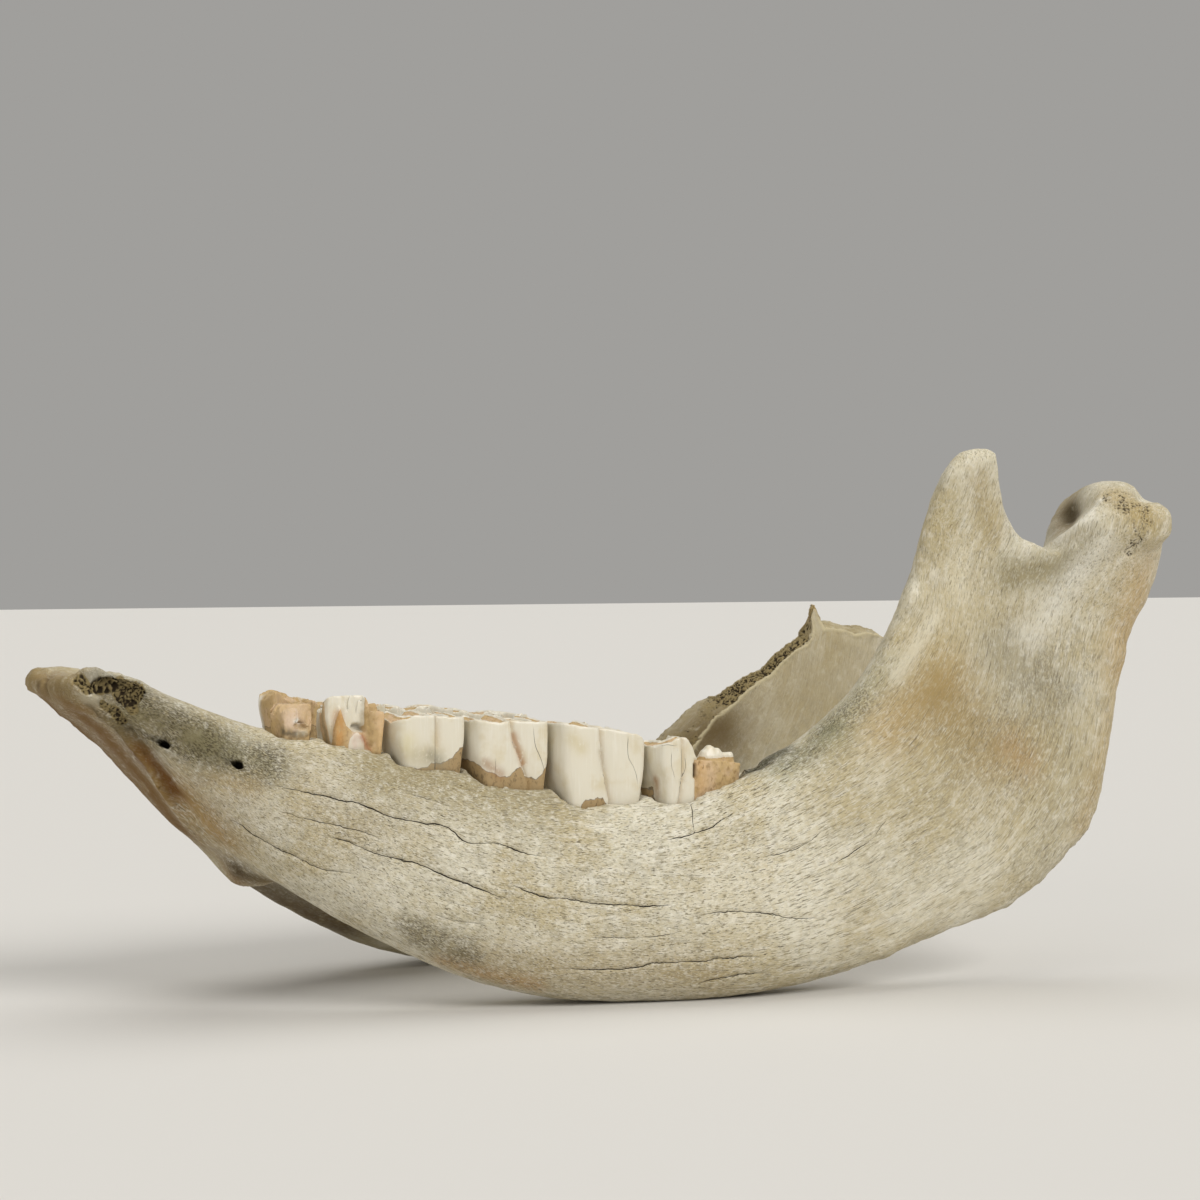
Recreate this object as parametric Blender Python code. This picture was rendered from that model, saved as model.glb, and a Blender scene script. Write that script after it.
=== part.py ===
"""Fossil lower jaw of a woolly rhinoceros, with eleven cheek teeth in their sockets.

The jaw lies on its two lower borders, as it would on a table. +X runs from the chin to the
jaw joint, -Y is the animal's left and +Z is up. Tables are in millimetres: x along the jaw,
out from the midline, z up from the table. The finished part stands with its origin in the
middle of its box, at the table.
"""

import math

import bmesh
import bpy
import numpy as np
from mathutils import Vector, noise

MM = 0.001

# Driving dimensions
SOCKET_GAP = 0.35           # between a tooth and its socket
VOXEL = 3.0                 # cell in which the lofted forms of the bone are fused
BONE_TRIANGLES = 4900       # facets of the fused bone before the small cuts
LOOP_POINTS = 20            # points round each rung of the jaw half
ROUNDNESS = 0.78            # exponent of a rung's section, 1 is an ellipse
RUNG_STEPS = 3              # rungs between two rows of the table
REST_CLIP = 1.6             # height planed off the lower borders, where the jaw rests
TABLE_LOW = (-300, -200, -40)   # corner of the block that planes them
TABLE_HIGH = (350, 200)         # its far sides
LEFT, RIGHT = -1, 1

# Rungs of one jaw half, from the chin to the notch beside the joint. Each runs from the
# lower or rear border (x, z, out) to the upper or front border (x, z, out). The last
# four are half thicknesses at the lower end, middle and upper end, and the outward bow.
RUNGS = (
    (-208, 125, 14, -206, 146, 30, 10, 12, 9, 0),
    (-184, 98, 18, -178, 137, 32, 14, 16, 12, 1),
    (-159, 71, 27, -151, 127, 36, 17, 19, 14, 2),
    (-132, 51, 37, -122, 122.5, 40, 19, 22, 16, 2),
    (-100, 31.5, 47, -92, 116, 45, 21, 25, 21, 2),
    (-68, 16, 56, -64, 108.5, 50, 22, 26, 24, 2),
    (-34, 5.5, 65, -38, 101.5, 55, 24, 27, 26, 2),
    (5, 0.8, 74, 0, 95, 62, 25, 28, 27, 2),
    (42, 0, 82, 34, 96, 70, 25, 28, 27, 2),
    (81, 3.4, 88, 62, 104, 78, 24, 27, 25, 2),
    (123, 11.6, 94, 84, 113, 85, 21, 23, 19, 1),
    (165, 24.2, 98, 103, 127, 90, 18, 18, 16, 0),
    (200, 34, 101, 118, 142, 94, 16, 13, 13, -1),
    (222, 48, 103, 128, 158, 97, 15, 10, 12, -2),
    (241, 64, 104, 136, 174, 99, 15, 8, 11, -3),
    (254, 84, 104, 141.5, 187, 100, 14, 7.5, 10, -3),
    (260, 112, 104, 146, 200, 101, 13, 7.5, 9, -3),
    (265, 141, 104, 150, 211, 102, 12, 7.5, 9, -2),
    (273, 168, 104, 152, 218, 102, 12, 8, 8, -1),
    (283, 186, 104, 154, 223, 103, 11, 7, 8, 0),
)

# Level rings of the coronoid process: z, front x, rear x, out, half thickness
CORONOID = (
    (184, 144, 216, 101, 4),
    (204, 147, 212, 102, 7.5),
    (214, 150, 203, 103, 7.5),
    (226, 154, 196, 104, 7),
    (238, 158, 192, 106, 6.5),
    (247, 163.5, 191, 107, 6),
    (252.5, 169, 190.5, 107, 4.5),
)

# Level rings of the neck that carries the joint: z, front x, rear x, out, half thickness
NECK = (
    (160, 232, 266, 104, 5),
    (176, 226, 277, 103, 10),
    (192, 222, 286, 102, 14),
    (203, 224, 288, 102, 19),
    (212, 230, 286, 101, 24),
    (221, 237, 283, 99.5, 28),
)

# Upright rings of the condyle, the roller of the joint: out, x, z, half length, half height
CONDYLE = (
    (66, 261, 219, 6, 6),
    (73, 261, 220, 12, 10),
    (84, 262, 222, 17, 13),
    (97, 263, 223, 20, 15),
    (110, 264, 223, 19, 15),
    (119, 266, 219, 16, 12),
    (126, 268, 216, 13, 10),
    (131, 269, 214, 7, 6),
)

# Cross-sections of the fused chin: x, half width, rim z, trough depth, keel z
CHIN = (
    (-236, 32, 150, 2, 143),
    (-228, 38, 153, 4, 134),
    (-216, 41, 153, 7, 125),
    (-202, 39, 149, 10, 111),
    (-188, 36, 142, 12, 96),
    (-174, 35, 136, 13, 81),
    (-160, 38, 130, 14, 69),
    (-147, 42, 127, 16, 55),
    (-136, 44, 123, 18, 56),
    (-120, 46, 119, 22, 66),
)
CHIN_SHAPE = (              # width and height as shares: keel, sides, rim
    (0.42, 0.00), (0.80, 0.18), (0.97, 0.46), (1.00, 0.78), (0.90, 0.98), (0.72, 0.97),
)
TROUGH_SLOPE = (0.35, 0.75)     # a point of the trough's slope: share of the width, of the depth

# Unevenness of the surface: width of a lump and its height
WAVES = ((45, 0.7), (17, 0.25), (8, 0.15))
# Rough stretches, as heights of the finer lumps: the angle outside a circle in the side view,
# by middle x and z, radius and edge width, and the end of the chin, by x and edge width
ROUGHNESS_OF_SCARS = (1.5, 0.9)     # of the middle and the finest lumps
ANGLE_SCAR = (150, 130, 85, 25)
ANGLE_LIMITS = (120, 175)   # least x and greatest z of the scarred angle
CHIN_SCAR = (-200, 12)

# Swellings and hollows of the surface: from, to, reach, height
FORMS = (
    ((104, -106, 122), (140, -110, 182), 9, 2.0),       # front border of the left ramus
    ((140, -110, 182), (160, -112, 238), 8, 1.5),
    ((205, -110, 150), (215, -110, 120), 34, -2.5),     # hollow for the chewing muscle
    ((205, 110, 140), (215, 110, 115), 34, -2.5),
    ((212, -110, 207), (258, -118, 228), 6, 3.0),       # crest from the notch to the joint
    ((243, -97, 220), (247, -89, 222), 6, -4.0),        # hollow in front of the joint
    ((270, -117, 234), (279, -109, 233), 6, -6.5),      # dip before the joint's outer knob
    ((274, -128, 222), (273, -130, 220), 5, 1.5),
    ((264, -118, 202), (256, -117, 150), 8, 2.2),       # ridge down the neck
    ((-146, -49, 120), (-113, -53, 116), 6, 3.0),       # cheek side of the front sockets
    ((-147, 0, 55), (-143, 0, 55), 9, 2.5),             # boss behind the chin
    ((-218, -14, 153), (-215, -22, 153), 6, 3.0),       # bump on the chin's rim
    ((-234, 28, 148), (-236, 30, 146), 9, 2.0),         # knob at the chin's right corner
)

# Outline of the missing part of the right ramus, along the break: x, z
BREAK = (
    (76, 116), (84, 105), (96, 102.5), (112, 102.5), (122, 105), (130, 111.5), (139, 118.5), (150, 127),
    (158, 129.5), (166, 134), (177, 140.5), (188, 144.5), (195, 151), (204, 157.5), (211, 160),
    (215, 165), (217, 178), (220.5, 177), (223, 168), (228, 168.5), (238, 167), (243, 164.5),
    (252, 165.5), (262, 163), (268, 159), (276, 150), (300, 140),
)
BREAK_TOP = (300, 80, 300)  # rear x, front x and z of the cutter's far corners
BREAK_SIDES = (60, 160)     # the cutter's reach out from the midline
BREAK_OUT = 112             # how far out the outline above lies
BREAK_BEVEL = 0.38          # how much lower the break is towards the tongue side

# Teeth: front x, rear x, out, width, top z in front, top z behind, gum z, root depth
TEETH = {
    "p2": (-147, -128, 39, 17, 138, 138, 125, 16),
    "p3": (-126, -98, 42, 21, 140.5, 139, 118, 20),
    "p4": (-97, -63, 48, 25, 132, 131, 110, 22),
    "m1": (-62, -25, 54, 27, 129, 128, 100, 24),
    "m2": (-24, 19, 62, 28, 126, 123, 92, 26),
    "m3": (20, 65, 72, 27, 119, 115, 97, 26),
}
RIGHT_ROW_SHIFT = 5.0       # the right row stands this much further back
ROOT_TIP_SCALE = 0.62       # section of the root's tip, as a share of the crown's
ROOT_WAIST = (0.45, 0.86)   # share of the root's depth where it narrows, and its scale
CROWN_FOOT = (2.0, 0.985)   # height over the gum of the crown's foot, and its scale
ENAMEL_RIM = 1.7            # width of the rim round the worn top
WORN_DEPTH = 2.2            # depth of the worn top inside its rim
WHOLE_BELOW = 3.0           # height over the gum up to which a broken tooth is whole
# A tooth's section seen from above, from 0 to 1 along it, from 1, cheek, to -1, tongue,
# and the height of the worn rim there
TOOTH_SECTION = (
    (0.02, 0.52, -0.5), (0.08, 0.86, 0.0), (0.25, 1.00, 0.0), (0.43, 0.98, 0.0),
    (0.50, 0.88, -0.4), (0.74, 1.00, 0.0), (0.96, 0.96, 0.0), (1.00, 0.84, 0.0),
    (0.97, -0.72, 0.8), (0.84, -0.92, 1.4), (0.72, -0.52, -2.0), (0.58, -0.98, 1.6),
    (0.40, -0.94, 1.4), (0.28, -0.56, -1.6), (0.14, -0.92, 1.2), (0.01, -0.60, 0.4),
)
# Broken teeth: the parts of the top that are lost, as shares along the tooth from and to, the
# least share across it, from -1, tongue, to 1, cheek, and the drop
LOSSES = {
    "left_p2": ((0.0, 1.0, -1.1, 2.5), (0.6, 1.0, -1.1, 1.0), (0.0, 1.0, 0.3, 4.0)),
    "left_p3": ((0.0, 1.0, 0.25, 5.0), (0.38, 0.62, 0.25, 7.0), (0.7, 1.1, -1.1, 2.0)),
    "left_m3": ((0.5, 1.1, -0.7, 10.0),),
    "right_p3": ((-0.1, 1.1, -1.1, 2.6), (0.5, 1.1, -1.1, 3.0)),
}
LOSS_EDGE = 0.08            # width of the edge of such a loss, as a share
PAST_THE_CHEEK = 1.2        # a share across that lies outside any tooth
STUMP_SECTION = (
    (0.00, 0.30, 0.0), (0.12, 0.85, -1.0), (0.38, 1.00, -1.5), (0.66, 0.95, -1.0),
    (0.90, 0.80, -2.0), (1.00, 0.25, -1.0), (0.97, -0.45, 0.5), (0.84, -0.88, 1.0),
    (0.58, -1.00, 0.0), (0.32, -0.95, 1.5), (0.10, -0.80, 1.0), (0.00, -0.25, 0.5),
)

# Holes for nerves and vessels: x, out, z, half length, half width, depth
MENTAL_FORAMINA = ((-195, 34, 121, 3.2, 2.2, 9), (-166, 41, 112, 3.2, 2.2, 9))
MANDIBULAR_FORAMEN = (168, 78, 98, 8, 5, 9)
CANAL_TURN = 0.5            # lean of the holes about Y, in radians
HOLLOW_LUMPS = (0.18, 1.7, 40)      # of a hollow's wall: height as a share, fineness, shift

# Space between the jaw halves behind the chin: middle, half sizes, turn about Y
THROAT = ((-104, 0, 92), (38, 19, 80), 0.25)
# Broken hollows: middle, half sizes, turn about Y
CHIN_CAVITY = ((-213, -41, 142), (17, 10, 8), 0.35)
REAR_CREVICE = ((72, -76, 104), (7, 7, 6), -0.3)

BONE_COLOUR = (0.50, 0.45, 0.34, 1.0)
ENAMEL_COLOUR = (0.69, 0.64, 0.53, 1.0)


def clear_scene():
    """Remove whatever the file was opened with."""
    for thing in list(bpy.data.objects):
        bpy.data.objects.remove(thing, do_unlink=True)


def material(name, colour, roughness):
    """A plain Principled finish."""
    made = bpy.data.materials.new(name)
    made.use_nodes = True
    shader = made.node_tree.nodes["Principled BSDF"]
    shader.inputs["Base Color"].default_value = colour
    shader.inputs["Roughness"].default_value = roughness
    shader.inputs["Metallic"].default_value = 0.0
    return made


def add_object(name, mesh, finish=None):
    """Link a mesh to the scene under a name."""
    made = bpy.data.objects.new(name, mesh)
    bpy.context.scene.collection.objects.link(made)
    if finish is not None:
        mesh.materials.append(finish)
    return made


def as_cutter(thing):
    """Mark an object as a guide that only cuts others."""
    thing.hide_render = True
    thing.display_type = "WIRE"
    return thing


def cut(target, cutter):
    """Take one closed form out of another."""
    step = target.modifiers.new(cutter.name, "BOOLEAN")
    step.operation = "DIFFERENCE"
    step.solver = "EXACT"
    step.object = as_cutter(cutter)


def smooth_rows(rows, steps):
    """Rows between the given ones, on a Catmull-Rom curve through them."""
    table = np.array(rows, dtype=float)
    padded = np.vstack((2 * table[0] - table[1], table, 2 * table[-1] - table[-2]))
    result = []
    for index in range(len(table) - 1):
        a, b, c, d = padded[index:index + 4]
        for step in range(steps):
            t = step / steps
            result.append(0.5 * (2 * b + (c - a) * t + (2 * a - 5 * b + 4 * c - d) * t * t
                                 + (3 * b - a - 3 * c + d) * t ** 3))
    result.append(table[-1])
    return result


def loft(bm, rings):
    """A closed skin through rings of points with the same count, capped at both ends."""
    loops = [[bm.verts.new(Vector(point) * MM) for point in ring] for ring in rings]
    count = len(loops[0])
    for lower, upper in zip(loops, loops[1:]):
        for index in range(count):
            after = (index + 1) % count
            bm.faces.new((lower[index], lower[after], upper[after], upper[index]))
    bm.faces.new(reversed(loops[0]))
    bm.faces.new(loops[-1])


def finished_mesh(name, bm):
    """Turn a bmesh into a mesh whose faces point outwards."""
    bmesh.ops.recalc_face_normals(bm, faces=bm.faces)
    mesh = bpy.data.meshes.new(name)
    bm.to_mesh(mesh)
    bm.free()
    return mesh


def rounded(angle):
    """Cosine and sine of a section that is fuller than an ellipse."""
    c, s = math.cos(angle), math.sin(angle)
    return (math.copysign(abs(c) ** ROUNDNESS, c), math.copysign(abs(s) ** ROUNDNESS, s))


def rung_ring(row, side):
    """The section of a jaw half along one rung."""
    x_low, z_low, out_low, x_up, z_up, out_up, low, middle, up, bow = row
    ring = []
    for index in range(LOOP_POINTS):
        along, across = rounded(2 * math.pi * index / LOOP_POINTS)
        share = 0.5 - 0.5 * along
        half = (low * (1 - share) * (1 - 2 * share) + 4 * middle * share * (1 - share)
                + up * share * (2 * share - 1))
        out = out_low + share * (out_up - out_low) + 4 * bow * share * (1 - share)
        ring.append((x_low + share * (x_up - x_low), side * (out + half * across),
                     z_low + share * (z_up - z_low)))
    return ring


def level_ring(row, side):
    """A flat ring of the coronoid process or the neck."""
    z, front, rear, out, half = row
    ring = []
    for index in range(LOOP_POINTS):
        along, across = rounded(2 * math.pi * index / LOOP_POINTS)
        ring.append(((front + rear) / 2 + (rear - front) / 2 * along, side * (out + half * across), z))
    return ring


def upright_ring(row, side):
    """A ring of the condyle, square to the roller's axis."""
    out, x, z, half_length, half_height = row
    ring = []
    for index in range(LOOP_POINTS):
        along, across = rounded(2 * math.pi * index / LOOP_POINTS)
        ring.append((x + half_length * along, side * out, z + half_height * across))
    return ring


def chin_ring(row):
    """A section of the fused chin: a keel below, a trough above."""
    x, half_width, rim, depth, keel = row
    height = rim - keel
    half = [(width * half_width, keel + share * height) for width, share in CHIN_SHAPE]
    half.append((TROUGH_SLOPE[0] * half_width, rim - TROUGH_SLOPE[1] * depth))
    near = [(x, -y, z) for y, z in half]
    far = [(x, y, z) for y, z in reversed(half)]
    return near + [(x, 0, rim - depth)] + far


def swelling(point, start, end, reach):
    """How near a point is to a line, from 0 far away to 1 on it."""
    start, end = Vector(start), Vector(end)
    run = end - start
    share = min(1.0, max(0.0, (point - start).dot(run) / max(run.length_squared, 1e-6)))
    return math.exp(-((point - start - run * share).length / reach) ** 2)


def relief(point):
    """How far the surface stands out at a point, in millimetres, both in design sizes."""
    place = Vector(point)
    waves = [noise.noise(place / width) for width, height in WAVES]
    amount = sum(wave * height for wave, (width, height) in zip(waves, WAVES))
    rough = ROUGHNESS_OF_SCARS[0] * waves[1] + ROUGHNESS_OF_SCARS[1] * waves[2]
    middle_x, middle_z, radius, edge = ANGLE_SCAR
    if place.x > ANGLE_LIMITS[0] and place.z < ANGLE_LIMITS[1]:
        outside = math.hypot(place.x - middle_x, place.z - middle_z) - radius
        amount += rough * min(1.0, max(0.0, outside / edge))
    amount += rough * min(1.0, max(0.0, (CHIN_SCAR[0] - place.x) / CHIN_SCAR[1]))
    for start, end, reach, height in FORMS:
        amount += height * swelling(place, start, end, reach)
    return amount


def fused_bone():
    """Both jaw halves, the chin and the joint processes, fused in one skin."""
    bm = bmesh.new()
    rungs = smooth_rows(RUNGS, RUNG_STEPS)
    for side in (LEFT, RIGHT):
        loft(bm, [rung_ring(row, side) for row in rungs])
    loft(bm, [level_ring(row, LEFT) for row in smooth_rows(CORONOID, RUNG_STEPS)])
    loft(bm, [level_ring(row, LEFT) for row in smooth_rows(NECK, RUNG_STEPS)])
    loft(bm, [upright_ring(row, LEFT) for row in smooth_rows(CONDYLE, RUNG_STEPS)])
    loft(bm, [chin_ring(row) for row in smooth_rows(CHIN, RUNG_STEPS)])
    lofts = add_object("lofted forms", finished_mesh("lofted forms", bm))
    fuse = lofts.modifiers.new("fuse", "REMESH")
    fuse.mode = "VOXEL"
    fuse.voxel_size = VOXEL * MM
    throat = oval_cutter("throat", *THROAT, 0.0)
    cut(lofts, throat)
    soften = lofts.modifiers.new("soften", "SMOOTH")
    soften.factor = 0.5
    soften.iterations = 6
    skin = bpy.data.meshes.new_from_object(lofts.evaluated_get(bpy.context.evaluated_depsgraph_get()))
    for thing in (lofts, throat):
        bpy.data.objects.remove(thing, do_unlink=True)
    bm = bmesh.new()
    bm.from_mesh(skin)
    bmesh.ops.triangulate(bm, faces=bm.faces)
    moves = [vert.normal * relief(vert.co / MM) * MM for vert in bm.verts]
    for vert, move in zip(bm.verts, moves):
        vert.co += move
    bm.to_mesh(skin)
    bm.free()
    return skin


def flat_cutter(name, outline, low_y, high_y, bevel=0.0, level_y=0.0):
    """A prism along Y from an outline of x and z, lower by the bevel inside level_y."""
    bm = bmesh.new()
    loft(bm, [[(x, y, z + bevel * (y - level_y)) for x, z in outline] for y in (low_y, high_y)])
    return add_object(name, finished_mesh(name, bm))


def box_cutter(name, low, high):
    """A box between two corners."""
    outline = ((low[0], low[2]), (high[0], low[2]), (high[0], high[2]), (low[0], high[2]))
    return flat_cutter(name, outline, low[1], high[1])


def oval_cutter(name, centre, radii, turn=0.0, height=HOLLOW_LUMPS[0]):
    """An egg-shaped hollow with a lumpy wall, turned about Y."""
    bm = bmesh.new()
    bmesh.ops.create_icosphere(bm, subdivisions=2, radius=1.0)
    for vert in bm.verts:
        lump = 1 + height * noise.noise(vert.co * HOLLOW_LUMPS[1] + Vector(centre) / HOLLOW_LUMPS[2])
        vert.co = Vector([size * lump * value for size, value in zip(radii, vert.co)])
        x, z = vert.co.x, vert.co.z
        vert.co.x = x * math.cos(turn) + z * math.sin(turn)
        vert.co.z = z * math.cos(turn) - x * math.sin(turn)
        vert.co = (vert.co + Vector(centre)) * MM
    return add_object(name, finished_mesh(name, bm))


def grown(outline, amount):
    """A flat outline moved outwards by an amount, corner by corner."""
    points = [Vector(point) for point in outline]
    middle = sum(points, Vector((0, 0))) / len(points)
    moved = []
    for index, point in enumerate(points):
        before = (point - points[index - 1]).normalized()
        after = (points[(index + 1) % len(points)] - point).normalized()
        normal = Vector((before.y + after.y, -before.x - after.x)).normalized()
        if normal.dot(point - middle) < 0:
            normal = -normal
        moved.append(point + normal * amount)
    return moved


def tooth_ring(section, box, z, scale, grow, tilt):
    """One level of a tooth: the section scaled about its middle, level or worn."""
    x_front, x_rear, side, out, width = box
    outline = [((x_front + x_rear) / 2 + (along - 0.5) * (x_rear - x_front) * scale,
                out + across * width / 2 * scale) for along, across, lift in section]
    rims = [0.0 if tilt is None else tilt * (along - 0.5) + lift for along, across, lift in section]
    return [(x, side * y, z + rim) for (x, y), rim in zip(grown(outline, grow), rims)]


def tooth_mesh(name, side, grow=0.0, losses=()):
    """A cheek tooth with a tapered root, two lobes and a worn hollow top."""
    front, rear, out, width, top_front, top_rear, gum, depth = TEETH[name[-2:]]
    if side == RIGHT:
        front, rear = front + RIGHT_ROW_SHIFT, rear + RIGHT_ROW_SHIFT
    section = STUMP_SECTION if name[-2:] == "p2" else TOOTH_SECTION
    box = (front, rear, side, out, width)
    top = (top_front + top_rear) / 2
    tilt = top_rear - top_front
    levels = (
        (gum - depth - grow, ROOT_TIP_SCALE, None),
        (gum - ROOT_WAIST[0] * depth, ROOT_WAIST[1], None),
        (gum + CROWN_FOOT[0], CROWN_FOOT[1], None),
        (top, 1.0, tilt),
    )
    bm = bmesh.new()
    loft(bm, [tooth_ring(section, box, z, scale, grow, lean) for z, scale, lean in levels])
    bm.faces.ensure_lookup_table()
    bmesh.ops.recalc_face_normals(bm, faces=bm.faces)
    if grow == 0.0:
        crown = max(bm.faces, key=lambda face: face.calc_center_median().z)
        bmesh.ops.inset_individual(bm, faces=[crown], thickness=ENAMEL_RIM * MM, use_even_offset=True)
        for vert in crown.verts:
            vert.co.z -= WORN_DEPTH * MM
        for vert in bm.verts:
            if vert.co.z > (gum + WHOLE_BELOW) * MM:
                share = (vert.co.x / MM - front) / (rear - front)
                across = (side * vert.co.y / MM - out) / (width / 2)
                vert.co.z -= lost_height(losses, share, across) * MM
    return finished_mesh(name, bm)


def window(value, low, high):
    """1 between two limits, falling to 0 beyond them."""
    return min(1.0, max(0.0, 1 + min(value - low, high - value) / LOSS_EDGE))


def lost_height(losses, share, across):
    """How much of a broken tooth's top is gone at a place on it."""
    return sum(drop * window(share, front, rear) * window(across, inner, PAST_THE_CHEEK)
               for front, rear, inner, drop in losses)


def build():
    """Model the jaw, its teeth, and the guides that cut them."""
    clear_scene()
    bone_finish = material("bone", BONE_COLOUR, 0.85)
    enamel_finish = material("enamel", ENAMEL_COLOUR, 0.45)
    jaw = add_object("mandible", fused_bone(), bone_finish)
    thin = jaw.modifiers.new("facets", "DECIMATE")
    thin.ratio = BONE_TRIANGLES / len(jaw.data.polygons)

    rear, front, top = BREAK_TOP
    outline = list(BREAK) + [(rear, top), (front, top)]
    cut(jaw, flat_cutter("lost ramus", outline, *BREAK_SIDES, BREAK_BEVEL, BREAK_OUT))
    cut(jaw, box_cutter("table", TABLE_LOW, (*TABLE_HIGH, REST_CLIP)))
    for side, word in ((LEFT, "left"), (RIGHT, "right")):
        for index, (x, out, z, length, width, depth) in enumerate(MENTAL_FORAMINA):
            name = f"{word} mental foramen {index + 1}"
            cut(jaw, oval_cutter(name, (x, side * out, z), (length, depth, width), CANAL_TURN))
        x, out, z, length, width, depth = MANDIBULAR_FORAMEN
        mouth = oval_cutter(f"{word} canal mouth", (x, side * out, z), (length, depth, width), -CANAL_TURN)
        cut(jaw, mouth)
    cut(jaw, oval_cutter("chin cavity", *CHIN_CAVITY))
    cut(jaw, oval_cutter("crevice behind the last tooth", *REAR_CREVICE))

    pieces = [jaw]
    for side, word in ((LEFT, "left"), (RIGHT, "right")):
        for short in TEETH:
            name = f"{word}_{short}"
            cut(jaw, add_object(f"{name} socket", tooth_mesh(name, side, SOCKET_GAP)))
            if name == "right_p2":
                continue
            crown = tooth_mesh(name, side, 0.0, LOSSES.get(name, ()))
            pieces.append(add_object(name, crown, enamel_finish))
    place_on_table(pieces)


def place_on_table(pieces):
    """Bring the middle of the part's box to the origin, with its lowest face at z 0."""
    graph = bpy.context.evaluated_depsgraph_get()
    corners = []
    for piece in pieces:
        shown = piece.evaluated_get(graph)
        corners += [shown.matrix_world @ vert.co for vert in shown.data.vertices]
    low = Vector([min(point[axis] for point in corners) for axis in range(3)])
    high = Vector([max(point[axis] for point in corners) for axis in range(3)])
    stand = bpy.data.objects.new("jaw stand", None)
    bpy.context.scene.collection.objects.link(stand)
    stand.location = (-(low.x + high.x) / 2, -(low.y + high.y) / 2, -low.z)
    for thing in bpy.data.objects:
        if thing is not stand:
            thing.parent = stand


build()
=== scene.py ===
"""Dressed model of a weathered woolly rhinoceros lower jaw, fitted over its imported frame.

Places are in the jaw's own space, in millimetres: x runs from the chin to the joint, y from the
animal's left, which is negative, to its right, and z up from the table. JawSpace turns them into
metres of the frame.
"""

import sys
import logging
import math
from collections.abc import Callable, Sequence
from dataclasses import dataclass
from enum import Enum

import bmesh
import bpy
import numpy as np
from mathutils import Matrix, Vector, noise
from mathutils.bvhtree import BVHTree
from mathutils.kdtree import KDTree


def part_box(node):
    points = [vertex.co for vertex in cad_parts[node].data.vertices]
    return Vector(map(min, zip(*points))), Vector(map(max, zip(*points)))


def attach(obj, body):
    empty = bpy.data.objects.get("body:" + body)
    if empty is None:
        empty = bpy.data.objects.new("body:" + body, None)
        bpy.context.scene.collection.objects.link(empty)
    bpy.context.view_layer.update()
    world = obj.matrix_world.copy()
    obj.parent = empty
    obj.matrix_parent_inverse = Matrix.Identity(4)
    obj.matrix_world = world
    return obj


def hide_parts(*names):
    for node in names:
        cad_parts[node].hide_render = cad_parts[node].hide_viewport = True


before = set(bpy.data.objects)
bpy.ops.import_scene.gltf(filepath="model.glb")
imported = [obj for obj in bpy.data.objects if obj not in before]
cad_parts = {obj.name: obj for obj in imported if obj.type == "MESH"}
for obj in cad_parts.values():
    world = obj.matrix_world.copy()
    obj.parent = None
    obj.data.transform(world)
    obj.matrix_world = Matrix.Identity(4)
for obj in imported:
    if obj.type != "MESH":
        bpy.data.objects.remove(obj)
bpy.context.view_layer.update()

LOG = logging.getLogger("jaw")
MM = 0.001
TINY = 1e-6
FAR = 99.0
RAY_START = 200.0       # distance in mm from which a ray looks for a surface
Point = tuple[float, float, float]
Line = tuple[tuple[float, ...], ...]
Socket = bpy.types.NodeSocket


class Side(Enum):
    """The two sides of the animal, as signs of y."""

    LEFT = -1
    RIGHT = 1


class Mark(Enum):
    """What a skin tells its material about each place, as the name of a mesh attribute."""

    GRAIN = "grain"
    FIBROUS = "fibrous"
    TINT = "tint"
    SPECKLE = "speckle"
    SPONGY = "spongy"
    PORES = "pores"
    # painted shade in holes, pockets, slits and the gaps between teeth
    PAINTED_HOLLOW_SHADE = "hollow"
    DENTINE = "dentine"
    CEMENT = "cement"
    CRACK_OFFSET = "crack_offset"
    CRACK_WIDTH = "crack_width"
    WORN_TOP = "worn_top"


@dataclass(frozen=True)
class JawSpace:
    """The jaw's own space, tied to the frame by the box of one tooth.

    In that space the left first molar ends at x -25, reaches out to y -67.5 and has the tip of
    its root at z 76.
    """

    tooth: str = "left_m1"
    rear_x: float = -25.0
    outer_y: float = -67.5
    root_z: float = 76.0

    def offset(self) -> np.ndarray:
        """The frame's millimetres minus the jaw's."""
        low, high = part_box(self.tooth)
        return np.array((high.x / MM - self.rear_x, low.y / MM - self.outer_y, low.z / MM - self.root_z))

    def to_frame(self, points: np.ndarray) -> np.ndarray:
        """Jaw millimetres to frame metres."""
        return (np.asarray(points, dtype=float) + self.offset()) * MM

    def to_jaw(self, points: np.ndarray) -> np.ndarray:
        """Frame metres to jaw millimetres."""
        return np.asarray(points, dtype=float) / MM - self.offset()


SPACE = JawSpace()


def linear(code: str) -> tuple[float, float, float, float]:
    """Turn an sRGB hex colour into linear RGBA.

    Args:
        code: Colour such as "#c8b090".

    Returns:
        Linear red, green, blue and an alpha of 1.
    """
    parts = [int(code[start:start + 2], 16) / 255 for start in (1, 3, 5)]
    curve = [part / 12.92 if part <= 0.04045 else ((part + 0.055) / 1.055) ** 2.4 for part in parts]
    return (*curve, 1.0)


def add_node(tree: bpy.types.NodeTree, kind: str, inputs: dict[str | int, object], **settings: object
             ) -> bpy.types.Node:
    """Add a shader node with its settings and links.

    Args:
        tree: Node tree that gets the node.
        kind: Blender's class name of the node.
        inputs: Socket name or number to a value, or to another node's output socket.
        settings: Properties of the node.

    Returns:
        The new node.
    """
    made = tree.nodes.new(kind)
    for key, value in settings.items():
        setattr(made, key, value)
    for key, value in inputs.items():
        if isinstance(value, Socket):
            tree.links.new(value, made.inputs[key])
        else:
            made.inputs[key].default_value = value
    return made


def smooth_step(low: float, high: float, values: np.ndarray) -> np.ndarray:
    """Rise from 0 at low to 1 at high; it falls where low is above high."""
    share = np.clip((values - low) / (high - low), 0.0, 1.0)
    return share * share * (3 - 2 * share)


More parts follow.
